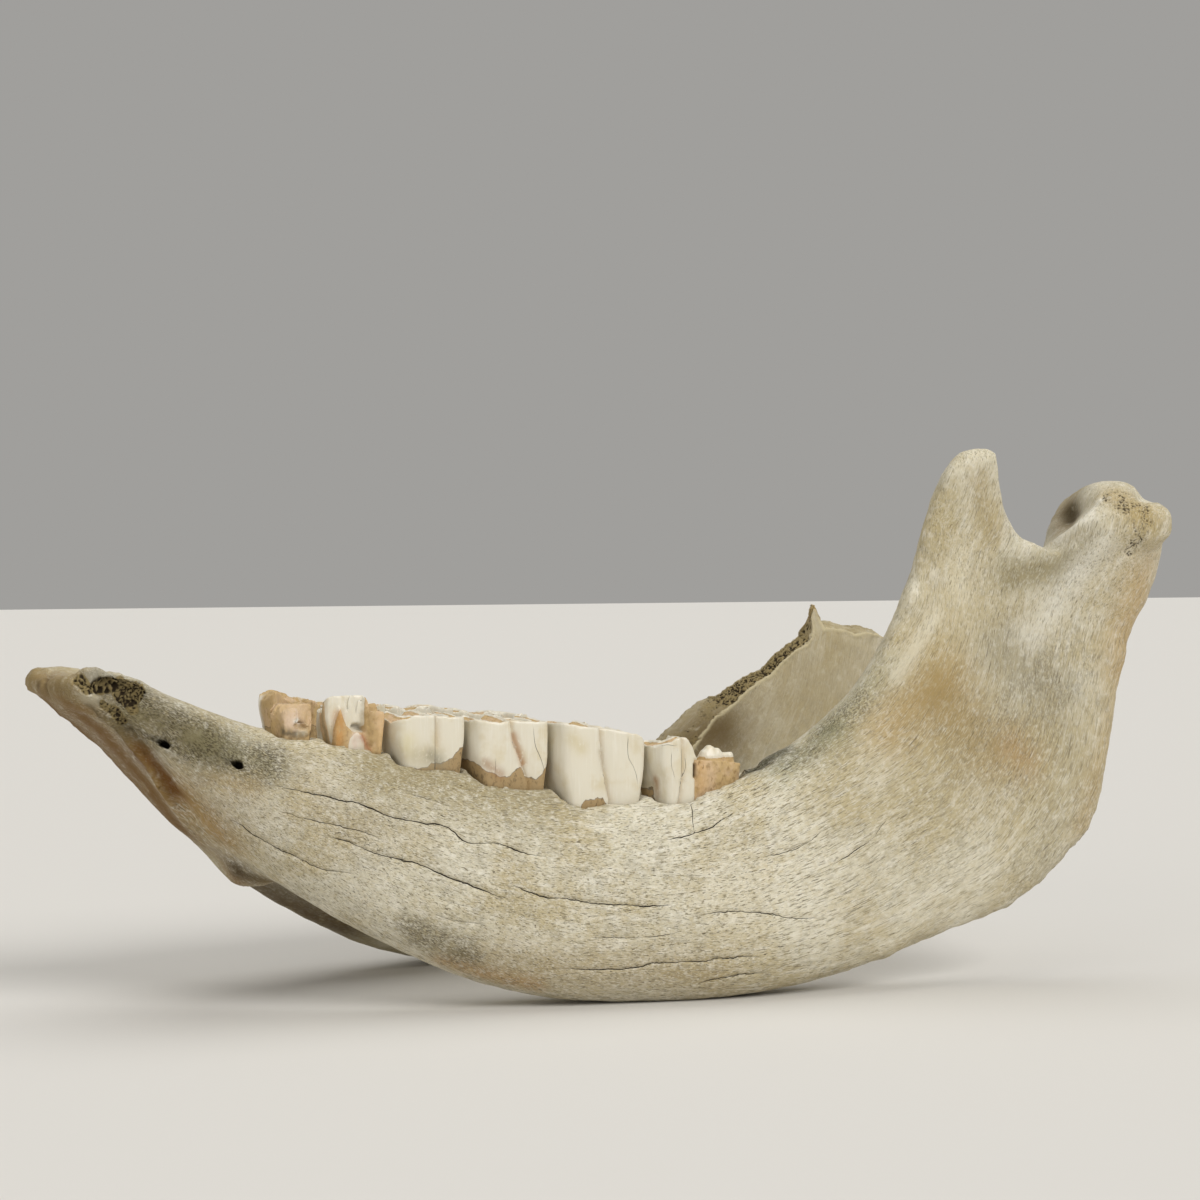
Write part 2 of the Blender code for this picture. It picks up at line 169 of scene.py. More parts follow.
def lumps(points: np.ndarray, size: float, seed: float = 0.0) -> np.ndarray:
    """Smooth noise from -1 to 1.

    Args:
        points: Places in millimetres.
        size: Width of a lump in millimetres.
        seed: Shift that makes another pattern.

    Returns:
        One value for each point.
    """
    return np.array([noise.noise(Vector(point)) for point in np.asarray(points) / size + seed])


def cells(points: np.ndarray, size: float, seed: float = 0.0) -> np.ndarray:
    """Pores of spongy bone, 0 on the struts between them and 1 in the middle of one.

    Args:
        points: Places in millimetres.
        size: Pore spacing in millimetres.
        seed: Shift that makes another pattern.

    Returns:
        One value for each point.
    """
    result = []
    for point in np.asarray(points) / size + seed:
        near = noise.voronoi(Vector(point), distance_metric="DISTANCE")[0]
        result.append(near[1] - near[0])
    return smooth_step(0.06, 0.42, np.array(result))


def along_line(points: np.ndarray, start: Sequence[float], end: Sequence[float]
               ) -> tuple[np.ndarray, np.ndarray]:
    """Place of points beside a straight line.

    Args:
        points: Places, in two or three dimensions.
        start: Start of the line.
        end: End of the line.

    Returns:
        Share along the line, kept from 0 to 1, and the distance from it.
    """
    first, run = np.array(start, float), np.array(end, float) - np.array(start, float)
    share = np.clip((points - first) @ run / max(run @ run, TINY), 0.0, 1.0)
    return share, np.linalg.norm(points - first - share[:, None] * run, axis=1)


def from_path(points: np.ndarray, path: Line) -> np.ndarray:
    """Distance of points from a line through one or more corners."""
    return np.min([along_line(points, start, end)[1] for start, end in zip(path, path[1:] or path)], axis=0)


def inside_outline(flat: np.ndarray, outline: Line) -> np.ndarray:
    """Work out how deep inside a closed outline places lie.

    Args:
        flat: Places in two dimensions.
        outline: Corners of the outline.

    Returns:
        Distance from the outline, below zero outside it.
    """
    crossings = np.zeros(len(flat), dtype=int)
    closed = (*outline, outline[0])
    for (ax, az), (bx, bz) in zip(closed, closed[1:]):
        between = (az > flat[:, 1]) != (bz > flat[:, 1])
        crossings += between & (flat[:, 0] < (bx - ax) * (flat[:, 1] - az) / (bz - az or TINY) + ax)
    return np.where(crossings % 2 == 1, 1, -1) * from_path(flat, closed)


def smooth_path(points: Sequence[Sequence[float]], step: float) -> np.ndarray:
    """Points at an even step on a smooth curve through the given ones.

    Args:
        points: Points that the curve passes through.
        step: Spacing of the result in millimetres.

    Returns:
        An array with one row for each point.
    """
    table = np.array(points, float)
    padded = np.vstack((2 * table[0] - table[1], table, 2 * table[-1] - table[-2]))
    rows = []
    for index in range(len(table) - 1):
        a, b, c, d = padded[index:index + 4]
        count = max(2, int(np.linalg.norm(c - b) / step))
        for t in np.arange(count) / count:
            rows.append(0.5 * (2 * b + (c - a) * t + (2 * a - 5 * b + 4 * c - d) * t * t
                               + (3 * b - a - 3 * c + d) * t ** 3))
    rows.append(table[-1])
    return np.array(rows)


class Skin:
    """The fine skin of one piece, shaped in jaw millimetres."""

    SHARP = 0.85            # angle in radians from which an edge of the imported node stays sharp
    LEVEL = 0.25            # upward share of a normal from which a face is a worn basin's floor
    MARGIN = 0.03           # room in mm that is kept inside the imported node's box

    def __init__(self, node: str, cell: float, rounding: int, fill_above: float | None = None,
                 fill: float = 0.0) -> None:
        """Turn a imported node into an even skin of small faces, its facets rounded off.

        Args:
            node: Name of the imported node.
            cell: Width of a face in millimetres.
            rounding: Number of passes that soften what facets are left.
            fill_above: Height over which a worn basin is filled, if there is one.
            fill: Depth of that basin in millimetres.
        """
        self.node = node
        source = bpy.data.meshes.new(node)
        bm = bmesh.new()
        bm.from_mesh(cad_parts[node].data)
        bmesh.ops.remove_doubles(bm, verts=bm.verts, dist=TINY)
        if fill_above is not None:
            limit = SPACE.to_frame((0.0, 0.0, fill_above))[2]
            floor = [vert for vert in bm.verts if vert.co.z > limit
                     and all(face.normal.z > self.LEVEL for face in vert.link_faces)]
            bmesh.ops.translate(bm, verts=floor, vec=(0.0, 0.0, fill * MM))
        crease = bm.edges.layers.float.new("crease_edge")
        for edge in bm.edges:
            edge[crease] = 1.0 if edge.calc_face_angle(0.0) > self.SHARP else 0.0
        bm.to_mesh(source)
        bm.free()
        guide = bpy.data.objects.new(f"{node} guide", source)
        bpy.context.scene.collection.objects.link(guide)
        for kind, settings in (
            ("SUBSURF", {"levels": 2, "render_levels": 2}),
            ("REMESH", {"mode": "VOXEL", "voxel_size": cell * MM}),
            ("SMOOTH", {"factor": 0.5, "iterations": rounding}),
            ("TRIANGULATE", {}),
        ):
            step = guide.modifiers.new(kind.lower(), kind)
            for key, value in settings.items():
                setattr(step, key, value)
        graph = bpy.context.evaluated_depsgraph_get()
        self.mesh = bpy.data.meshes.new_from_object(guide.evaluated_get(graph))
        bpy.data.objects.remove(guide, do_unlink=True)

    def points(self) -> np.ndarray:
        """Read where the vertices are.

        Returns:
            One place for each vertex, in jaw millimetres.
        """
        flat = np.empty(len(self.mesh.vertices) * 3)
        self.mesh.vertices.foreach_get("co", flat)
        return SPACE.to_jaw(flat.reshape(-1, 3))

    def facing(self) -> np.ndarray:
        """Outward directions at the vertices.

        Returns:
            One unit vector for each vertex.
        """
        self.mesh.update()
        flat = np.empty(len(self.mesh.vertices) * 3)
        self.mesh.vertices.foreach_get("normal", flat)
        return flat.reshape(-1, 3)

    def wall(self) -> BVHTree:
        """Tree of the faces, in jaw millimetres, for rays and nearest places."""
        faces = [tuple(face.vertices) for face in self.mesh.polygons]
        return BVHTree.FromPolygons([Vector(corner) for corner in self.points()], faces)

    def refine(self, distance: Callable[[np.ndarray], np.ndarray], reaches: Sequence[float], shortest: float
               ) -> None:
        """Split the faces near a feature, once for each reach.

        Args:
            distance: Gives the distance of places, in jaw millimetres, from the feature.
            reaches: Distances in millimetres within which a round splits edges.
            shortest: Length in millimetres under which an edge is left alone.
        """
        for reach in reaches:
            bm = bmesh.new()
            bm.from_mesh(self.mesh)
            bm.edges.ensure_lookup_table()
            middles = np.array([(edge.verts[0].co + edge.verts[1].co) / 2 for edge in bm.edges])
            lengths = np.array([edge.calc_length() for edge in bm.edges]) / MM
            near = (lengths > shortest) & (distance(SPACE.to_jaw(middles)) < reach)
            chosen = [bm.edges[index] for index in np.flatnonzero(near)]
            bmesh.ops.subdivide_edges(bm, edges=chosen, cuts=1, use_grid_fill=True)
            bmesh.ops.triangulate(bm, faces=[face for face in bm.faces if len(face.verts) > 3])
            bm.to_mesh(self.mesh)
            bm.free()

    def shape(self, points: np.ndarray) -> None:
        """Move the vertices to new places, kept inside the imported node's box.

        Args:
            points: Places in jaw millimetres.
        """
        low, high = (SPACE.to_jaw(corner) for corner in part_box(self.node))
        inside = np.clip(points, low + self.MARGIN, high - self.MARGIN)
        self.mesh.vertices.foreach_set("co", SPACE.to_frame(inside).ravel())
        self.mesh.update()

    def mark(self, mark: Mark, values: np.ndarray) -> None:
        """Store one number, vector or colour for each vertex.

        Args:
            mark: What the values tell.
            values: Array of shape (n,), (n, 3) or (n, 4).
        """
        kind, key = {1: ("FLOAT", "value"), 3: ("FLOAT_VECTOR", "vector"), 4: ("FLOAT_COLOR", "color")}[
            1 if values.ndim == 1 else values.shape[1]]
        layers = self.mesh.attributes
        made = layers.get(mark.value) or layers.new(mark.value, kind, "POINT")
        made.data.foreach_set(key, np.ascontiguousarray(values, dtype=np.float32).ravel())

    def read(self, mark: Mark) -> np.ndarray:
        """Read numbers back that were stored for each vertex.

        Args:
            mark: What they tell.

        Returns:
            One number for each vertex.
        """
        values = np.empty(len(self.mesh.vertices), dtype=np.float32)
        self.mesh.attributes[mark.value].data.foreach_get("value", values)
        return values.astype(float)

    def finish(self, name: str, material: bpy.types.Material, slot: str) -> bpy.types.Object:
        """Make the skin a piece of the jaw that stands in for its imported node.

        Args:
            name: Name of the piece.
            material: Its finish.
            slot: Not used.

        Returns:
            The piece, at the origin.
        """
        self.mesh.materials.clear()
        self.mesh.materials.append(material)
        self.mesh.shade_smooth()
        piece = bpy.data.objects.new(name, self.mesh)
        bpy.context.scene.collection.objects.link(piece)
        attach(piece, "root")
        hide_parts(self.node)
        LOG.info("%s: %d triangles", name, len(self.mesh.polygons))
        return piece


@dataclass(frozen=True)
class Crack:
    """A drying crack, as points x and z on one side's outer face, with its widest half width."""

    points: Line
    width: float = 0.32
    side: Side = Side.LEFT
    wander: float = 0.7


class CrackNet:
    """Cracks laid on a skin, with the offset and width that draw and cut them."""

    STEP = 0.7          # spacing of the samples in mm
    REACH = 3.0         # distance from a crack that carries its offset in mm

    def __init__(self, skin: Skin, cracks: Sequence[Crack]) -> None:
        """Project the cracks on a skin.

        Args:
            skin: Skin that carries the cracks.
            cracks: The cracks.
        """
        wall = skin.wall()
        rows = []
        for number, crack in enumerate(cracks):
            rows += self._samples(wall, crack, number)
        self.rows = np.array(rows).reshape(-1, 10)
        self.tree = KDTree(len(rows))
        for index, row in enumerate(rows):
            self.tree.insert(row[:3], index)
        self.tree.balance()

    def _samples(self, wall: BVHTree, crack: Crack, number: int) -> list[tuple[float, ...]]:
        """Sample a crack on the skin.

        Args:
            wall: The skin.
            crack: The crack.
            number: Number that seeds its wander.

        Returns:
            Rows of place, direction, sideways direction and half width.
        """
        path = smooth_path(crack.points, self.STEP)
        places = []
        for index, (x, z) in enumerate(path):
            start = Vector((x, crack.side.value * RAY_START, z))
            seed = Vector((x / 7, z / 7, number))
            start.z += crack.wander * (noise.noise(seed) + 0.5 * noise.noise(seed * 4))
            hit, normal, _, _ = wall.ray_cast(start, Vector((0, -crack.side.value, 0)))
            if hit is not None:
                places.append((hit, normal, index / (len(path) - 1)))
        rows = []
        for before, here, after in zip(places, places[1:], places[2:]):
            run = (after[0] - before[0]).normalized()
            across = here[1].cross(run).normalized()
            taper = min(1.0, 6 * here[2], 6 * (1 - here[2]))
            beat = 0.72 + 0.5 * noise.noise(here[0] / 9 + Vector((number, 0, 0)))
            rows.append((*here[0], *run, *across, crack.width * taper * beat))
        return rows

    def distance(self, points: np.ndarray) -> np.ndarray:
        """Distance of places from the nearest crack, in millimetres."""
        return np.array([self.tree.find(point)[2] for point in points])

    def measure(self, points: np.ndarray) -> tuple[np.ndarray, np.ndarray]:
        """Work out what the material and the groove need.

        Args:
            points: Places of the vertices.

        Returns:
            Sideways offset from the nearest crack with a sign, and its half width, 0 far from it.
        """
        if not len(self.rows):
            return np.zeros(len(points)), np.zeros(len(points))
        found = [self.tree.find(point) for point in points]
        nearest = self.rows[[item[1] for item in found]]
        gap = np.array([item[2] for item in found])
        shift = points - nearest[:, :3]
        offset = np.einsum("ij,ij->i", shift, nearest[:, 6:9])
        ahead = np.abs(np.einsum("ij,ij->i", shift, nearest[:, 3:6]))
        width = np.where((gap < self.REACH) & (ahead < 2 * self.STEP), nearest[:, 9], 0.0)
        return np.clip(offset, -self.REACH, self.REACH), width


class Coats:
    """The coats of one material while it is made: its colour, and the height of its relief."""

    SHARE, UNDER, OVER, MIXED = 0, 6, 7, 2      # colour sockets of a Mix node
    BUMP = 0.8                                  # strength of the relief

    def __init__(self, name: str, ground: str) -> None:
        """Start a material.

        Args:
            name: Name of the material.
            ground: Colour under all the coats.
        """
        self.material = bpy.data.materials.new(name)
        self.material.use_nodes = True
        self.tree = self.material.node_tree
        self.shader = self.tree.nodes["Principled BSDF"]
        self.place = add_node(self.tree, "ShaderNodeTexCoord", {}).outputs["Object"]
        self.skin = {}
        for mark in Mark:
            read = add_node(self.tree, "ShaderNodeAttribute", {}, attribute_name=mark.value)
            self.skin[mark] = read.outputs["Vector" if mark is Mark.GRAIN else "Fac"]
            if mark is Mark.TINT:
                self.tint, self.tinted = read.outputs["Color"], read.outputs["Alpha"]
        self.colour = linear(ground)
        self.height = 0.5

    def pattern(self, source: Socket, size: Point, detail: float = 3.0, rough: float = 0.55) -> Socket:
        """Make noise with lumps of a real size.

        Args:
            source: Place in metres that the pattern follows.
            size: Size of a lump along each axis, in millimetres.
            detail: Number of finer layers.
            rough: Strength of the finer layers.

        Returns:
            The noise, about 0.5 on average.
        """
        scaled = add_node(self.tree, "ShaderNodeMapping", {
            "Vector": source, "Scale": [1 / (value * MM) for value in size],
        })
        return add_node(self.tree, "ShaderNodeTexNoise", {
            "Vector": scaled.outputs["Vector"], "Scale": 1.0, "Detail": detail, "Roughness": rough,
        }).outputs["Fac"]

    def coat(self, over: str | Socket, pattern: Socket, start: float, end: float, top: float = 1.0,
             where: Socket | None = None) -> Socket:
        """Lay a colour over the others where a pattern runs from one value to another.

        Args:
            over: The colour.
            pattern: What decides where it lies.
            start: Value where there is none of it yet.
            end: Value from which there is the most of it.
            top: Its greatest share.
            where: Share that scales it, such as a mark of the skin.

        Returns:
            The share of the colour at each place.
        """
        share = add_node(self.tree, "ShaderNodeMapRange", {
            "Value": pattern, "From Min": start, "From Max": end, "To Min": 0.0, "To Max": top,
        }, interpolation_type="SMOOTHSTEP").outputs["Result"]
        if where is not None:
            share = add_node(self.tree, "ShaderNodeMath", {0: share, 1: where},
                             operation="MULTIPLY").outputs[0]
        self.colour = add_node(self.tree, "ShaderNodeMix", {
            self.SHARE: share, self.UNDER: self.colour,
            self.OVER: linear(over) if isinstance(over, str) else over,
        }, data_type="RGBA").outputs[self.MIXED]
        return share

    def worn_edge(self, mark: Mark, pattern: Socket, unevenness: float) -> Socket:
        """Break up the edge of a mark with a pattern.

        Args:
            mark: The mark.
            pattern: Pattern that shifts its edge.
            unevenness: How far it does, as a share of the mark.

        Returns:
            The mark with the pattern added.
        """
        shift = add_node(self.tree, "ShaderNodeMath", {0: pattern, 1: unevenness, 2: -unevenness / 2},
                         operation="MULTIPLY_ADD").outputs[0]
        return add_node(self.tree, "ShaderNodeMath", {0: self.skin[mark], 1: shift}).outputs[0]

    def cracks(self, colour: str, feather: float) -> Socket:
        """Draw the skin's cracks.

        Args:
            colour: Colour of the dark inside a crack.
            feather: Width of its soft edge in millimetres.

        Returns:
            The share of the crack at each place.
        """
        away = add_node(self.tree, "ShaderNodeMath", {0: self.skin[Mark.CRACK_OFFSET]}, operation="ABSOLUTE")
        inside = add_node(self.tree, "ShaderNodeMath", {0: self.skin[Mark.CRACK_WIDTH], 1: away.outputs[0]},
                          operation="SUBTRACT")
        return self.coat(colour, inside.outputs[0], 0.0, feather)

    def emboss(self, pattern: Socket, amount: float) -> None:
        """Add a pattern to the relief.

        Args:
            pattern: The pattern.
            amount: Height of its full range, as a share of the relief's depth; below 0 sinks it.
        """
        self.height = add_node(self.tree, "ShaderNodeMath", {0: pattern, 1: amount, 2: self.height},
                               operation="MULTIPLY_ADD").outputs[0]

    def seal(self, depth: float, dull: Socket, roughness: tuple[float, float], **gloss: object
             ) -> bpy.types.Material:
        """Link the coats and the relief to the shader.

        Args:
            depth: Depth of the relief in millimetres.
            dull: Pattern that the roughness follows.
            roughness: Roughness where that pattern is 0 and where it is 1.
            gloss: Shader sockets that are the same all over, with a space for each underscore.

        Returns:
            The finished material.
        """
        rough = add_node(self.tree, "ShaderNodeMapRange", {
            "Value": dull, "To Min": roughness[0], "To Max": roughness[1],
        })
        bump = add_node(self.tree, "ShaderNodeBump", {
            "Height": self.height, "Strength": self.BUMP, "Distance": depth * MM,
        })
        self.tree.links.new(self.colour, self.shader.inputs["Base Color"])
        self.tree.links.new(rough.outputs["Result"], self.shader.inputs["Roughness"])
        self.tree.links.new(bump.outputs["Normal"], self.shader.inputs["Normal"])
        for name, value in gloss.items():
            self.shader.inputs[name.replace("_", " ")].default_value = value
        return self.material


@dataclass(frozen=True)
class ColourPatch:
    """A soft patch of colour along a line from start to end: a stain, painted shade or a painted highlight.
    """

    start: Point
    end: Point
    reach: float
    colour: str
    strength: float


def blend(points: np.ndarray, stains_and_painted_light: Sequence[ColourPatch]) -> np.ndarray:
    """Blend the patches of stain, painted shade and painted highlight into one colour and strength for each
    place.

    Args:
        points: Places in jaw millimetres.
        stains_and_painted_light: The stains, the later ones on top.

    Returns:
        Linear red, green, blue and the strength.
    """
    result = np.zeros((len(points), 4))
    for stain in stains_and_painted_light:
        amount = stain.strength * np.exp(-(along_line(points, stain.start, stain.end)[1] / stain.reach) ** 2)
        total = amount + result[:, 3] * (1 - amount)
        keep = np.divide(amount, total, out=np.zeros_like(total), where=total > TINY)[:, None]
        result[:, :3] = np.array(linear(stain.colour)[:3]) * keep + result[:, :3] * (1 - keep)
        result[:, 3] = total
    return result


@dataclass(frozen=True)
class WeatheredBone:
    """Fossil bone bleached by weather: dry and chalky, its fibres open along the grain.

    It scatters light and hardly shines, so the eye sees streaks and pits more than gloss. The
    fibres are 0.3 mm wide in life and are drawn a little coarser, 0.4 to 0.5 mm, so that they show.
    """

    name: str = "weathered fossil bone"
    pale: str = "#cbc4ae"
    tan: str = "#b1a27b"
    grey: str = "#a39d8b"
    fibre: str = "#756b52"
    bleached: str = "#e2ddce"
    pit: str = "#463c2a"
    # colour of the painted shade in holes, pockets and grooves
    painted_shade: str = "#1f1a13"
    pore: str = "#33291a"
    strut: str = "#82724b"
    crack: str = "#2b261e"

    def build(self) -> bpy.types.Material:
        """Make the material.

        Returns:
            The material, which reads the skin's own marks.
        """
        coats = Coats(self.name, self.pale)
        grain, fibrous = coats.skin[Mark.GRAIN], coats.skin[Mark.FIBROUS]
        cloud = coats.pattern(coats.place, (36, 36, 36))
        patch = coats.pattern(coats.place, (8, 8, 8), 4, 0.6)
        band = coats.pattern(grain, (30, 3.0, 3.0))
        mottle = coats.pattern(coats.place, (3.2, 3.2, 3.2), 3, 0.6)
        strand = coats.pattern(grain, (6.0, 1.3, 1.3), 3, 0.65)
        streak = coats.pattern(grain, (5.5, 0.50, 0.50), 2, 0.5)
        hair = coats.pattern(grain, (4.0, 0.40, 0.40), 1, 0.5)
        split = coats.pattern(grain, (20, 0.75, 0.75), 2, 0.5)
        pits = coats.pattern(grain, (1.5, 0.80, 0.80), 3, 0.6)

        coats.coat(self.tan, cloud, 0.42, 0.62, 0.7)
        coats.coat(self.grey, patch, 0.46, 0.70, 0.5)
        coats.coat(self.bleached, band, 0.50, 0.66, 0.45)
        coats.coat(coats.tint, patch, 0.08, 0.44, 1.0, coats.tinted)
        coats.coat(self.tan, mottle, 0.50, 0.68, 0.40, fibrous)
        coats.coat(self.bleached, mottle, 0.48, 0.30, 0.40, fibrous)
        coats.coat(self.fibre, strand, 0.47, 0.33, 0.40, fibrous)
        coats.coat(self.bleached, hair, 0.54, 0.64, 0.40, fibrous)
        lines = coats.coat(self.fibre, streak, 0.43, 0.34, 0.70, fibrous)
        seams = coats.coat(self.pit, split, 0.31, 0.27, 0.75, fibrous)
        coats.coat(self.pit, pits, 0.28, 0.22, 0.6)
        holes = coats.coat(self.pit, pits, 0.56, 0.38, 0.85, coats.skin[Mark.SPECKLE])
        coats.coat(self.strut, coats.worn_edge(Mark.SPONGY, mottle, 0.6), 0.25, 0.95, 0.92)
        coats.coat(self.pore, coats.skin[Mark.PORES], 0.15, 0.6)
        # painted shade in the holes, the pockets and the grooves before the nerve holes
        coats.coat(self.painted_shade, coats.skin[Mark.PAINTED_HOLLOW_SHADE], 0.0, 1.0)
        gaps = coats.cracks(self.crack, 0.14)

        for pattern, amount in ((strand, 0.35), (streak, 0.25), (patch, 0.9), (lines, -0.4),
                                (seams, -0.8), (holes, -1.0), (gaps, -1.6)):
            coats.emboss(pattern, amount)
        return coats.seal(0.45, band, (0.80, 0.95), Metallic=0.0, IOR=1.5, Specular_IOR_Level=0.2,
                          Subsurface_Weight=0.05, Subsurface_Radius=(1.0, 0.7, 0.45),
                          Subsurface_Scale=1.5 * MM)


@dataclass(frozen=True)
class ToothTissue:
    """Enamel over dentine, with brown cement at the root.

    The enamel is hard and satin, with fine upright growth lines, so it takes soft highlights. The
    bare dentine is waxy and tan, and the cement is rough, so both look dull beside it.
    """

    name: str = "fossil tooth enamel and dentine"
    enamel: str = "#d8d1be"
    cream: str = "#cbbd9a"
    white: str = "#e8e5db"
    dentine: str = "#b89c6c"
    pink_dentine: str = "#c9ad8c"
    dark_dentine: str = "#8f7347"
    cement: str = "#a48b62"
    dark_cement: str = "#57472e"
    # colour of the painted shade in the gaps between teeth, in slits and in holes
    hollow: str = "#241c13"
    crack: str = "#4d493f"

    def build(self) -> bpy.types.Material:
        """Make the material.

        Returns:
            The material, which reads each tooth's own marks.
        """
        coats = Coats(self.name, self.enamel)
        cloud = coats.pattern(coats.place, (10, 10, 10))
        growth = coats.pattern(coats.place, (1.1, 1.1, 18), 3, 0.6)
        grit = coats.pattern(coats.place, (1.7, 1.7, 2.4), 3, 0.62)

        coats.coat(self.cream, cloud, 0.48, 0.72, 0.6)
        coats.coat(self.white, growth, 0.50, 0.72, 0.25)
        bare = coats.worn_edge(Mark.DENTINE, cloud, 0.5)
        dentine = coats.coat(self.dentine, bare, 0.40, 0.56)
        coats.coat(self.pink_dentine, cloud, 0.45, 0.62, 0.7, dentine)
        coats.coat(self.dark_dentine, grit, 0.50, 0.72, 0.75, dentine)
        foot = coats.worn_edge(Mark.CEMENT, grit, 0.6)
        coats.coat(self.dark_cement, foot, 0.30, 0.42, 0.8)
        cement = coats.coat(self.cement, foot, 0.50, 0.62)
        coats.coat(self.dark_cement, grit, 0.50, 0.70, 0.6, cement)
        coats.coat(coats.tint, grit, 0.20, 0.50, 1.0, coats.tinted)
        # painted shade in the gaps, slits and holes
        coats.coat(self.hollow, coats.skin[Mark.PAINTED_HOLLOW_SHADE], 0.0, 1.0)
        gaps = coats.cracks(self.crack, 0.12)

        dull = add_node(coats.tree, "ShaderNodeMath", {0: dentine, 1: cement}, operation="MAXIMUM").outputs[0]
        gritty = add_node(coats.tree, "ShaderNodeMath", {0: grit, 1: dull}, operation="MULTIPLY").outputs[0]
        for pattern, amount in ((growth, 0.12), (gritty, 1.2), (gaps, -1.0)):
            coats.emboss(pattern, amount)
        return coats.seal(0.3, dull, (0.38, 0.78), Metallic=0.0, IOR=1.6, Specular_IOR_Level=0.45,
                          Subsurface_Weight=0.10, Subsurface_Radius=(1.0, 0.8, 0.6),
                          Subsurface_Scale=1.2 * MM)


@dataclass(frozen=True)
class Grain:
    """The run of the bone's fibres, from the chin to the joint.

    Each rung crosses the fibres: lower or rear end x and z, then upper or front end.
    """

    rungs: Line = (
        (-262, 160, -262, 176), (-236, 140, -234, 154), (-208, 125, -206, 146), (-184, 98, -178, 137),
        (-159, 71, -151, 127), (-132, 51, -122, 121), (-100, 31.5, -92, 113), (-68, 16, -64, 105),
        (-34, 5.5, -38, 97.5), (5, 0.8, 0, 91), (42, 0, 34, 92), (81, 3.4, 62, 101), (123, 11.6, 84, 113),
        (165, 24.2, 103, 127), (200, 34, 118, 142), (222, 48, 128, 158), (241, 64, 136, 174),
        (254, 84, 141.5, 187), (260, 112, 146, 200), (265, 141, 150, 211), (273, 168, 152, 218),
        (283, 186, 154, 223), (292, 208, 158, 236), (300, 232, 164, 254), (306, 256, 170, 274),
    )
    bulge: float = 45.0     # width added to a rung, for the bone's round edges
    spacing: float = 9.0    # of the rungs that are worked out between those

    def coordinates(self, points: np.ndarray) -> np.ndarray:
        """Work out each place's coordinates along and across the fibres.

        Args:
            points: Places in jaw millimetres.

        Returns:
            Millimetres along the fibres, across them, and y.
        """
        rungs = smooth_path(self.rungs, self.spacing)
        low, span = rungs[:, :2], rungs[:, 2:] - rungs[:, :2]
        middle = low + span / 2
        length = np.concatenate(([0.0], np.cumsum(np.linalg.norm(np.diff(middle, axis=0), axis=1))))
        widths = np.linalg.norm(span, axis=1)
        arm = points[:, None, (0, 2)] - low[None]
        turn = (span[None, :, 0] * arm[:, :, 1] - span[None, :, 1] * arm[:, :, 0]) / widths[None]
        share = np.einsum("ijk,jk->ij", arm, span) / (widths ** 2)[None]
        crossing = (turn[:, :-1] >= 0) != (turn[:, 1:] >= 0)
        aside = np.abs((share[:, :-1] + share[:, 1:]) / 2 - 0.5)
        cost = np.where(crossing, aside, 9.0 + np.abs(turn[:, :-1]))
        best = np.argmin(cost, axis=1)
        row = np.arange(len(points))
        before, after = turn[row, best], turn[row, best + 1]
        step = np.clip(before / np.where(np.abs(before - after) < TINY, TINY, before - after), -1.0, 2.0)
        along = length[best] + step * (length[best + 1] - length[best])
        height = share[row, best] + step * (share[row, best + 1] - share[row, best])
        width = 0.5 * (widths[best] + step * (widths[best + 1] - widths[best])) + self.bulge
        return np.column_stack((along, (height - 0.5) * width, points[:, 1]))


@dataclass(frozen=True)
class Swell:
    """A ridge, bump or hollow of the bone along a line: its reach and its height in millimetres.

    A crest of 2 makes it round, a lower one makes it sharp.
    """

    path: Line
    reach: float
    height: float
    crest: float = 2.0


@dataclass(frozen=True)
class Sponge:
    """A patch of open spongy bone along a line, with the size, depth and darkness of its pores.

    Its struts are as brown as its stain says, from 0 to 1.
    """

    start: Point
    end: Point
    reach: float
    pore: float
    depth: float
    dark: float = 1.0
    stain: float = 1.0


@dataclass(frozen=True)
class Hole:
    """A hole for a nerve in a jaw half's outer face, open towards the chin by a short groove."""

    mouth: Point
    half: float = 1.8       # of its width
    deep: float = 6.0       # how much further in its floor is pushed
    length: float = 2.1     # how much longer than wide it is
    slope: float = 0.45     # radians by which it runs down to the rear
    span: float = 14.0      # how far along its run it changes the bone
    lean: Point = (0.40, 0.90, -0.15)       # its run into the bone, whose y is towards the midline

    def run(self) -> np.ndarray:
        """Direction into the bone."""
        x, y, z = self.lean
        return np.array((x, -math.copysign(y, self.mouth[1]), z))

    def groove(self) -> Line:
        """Middle line of the groove in front of the hole, as x and z."""
        x, _, z = self.mouth
        return ((x - 9.0, z + 3.8), (x - 1.5, z + 0.6))


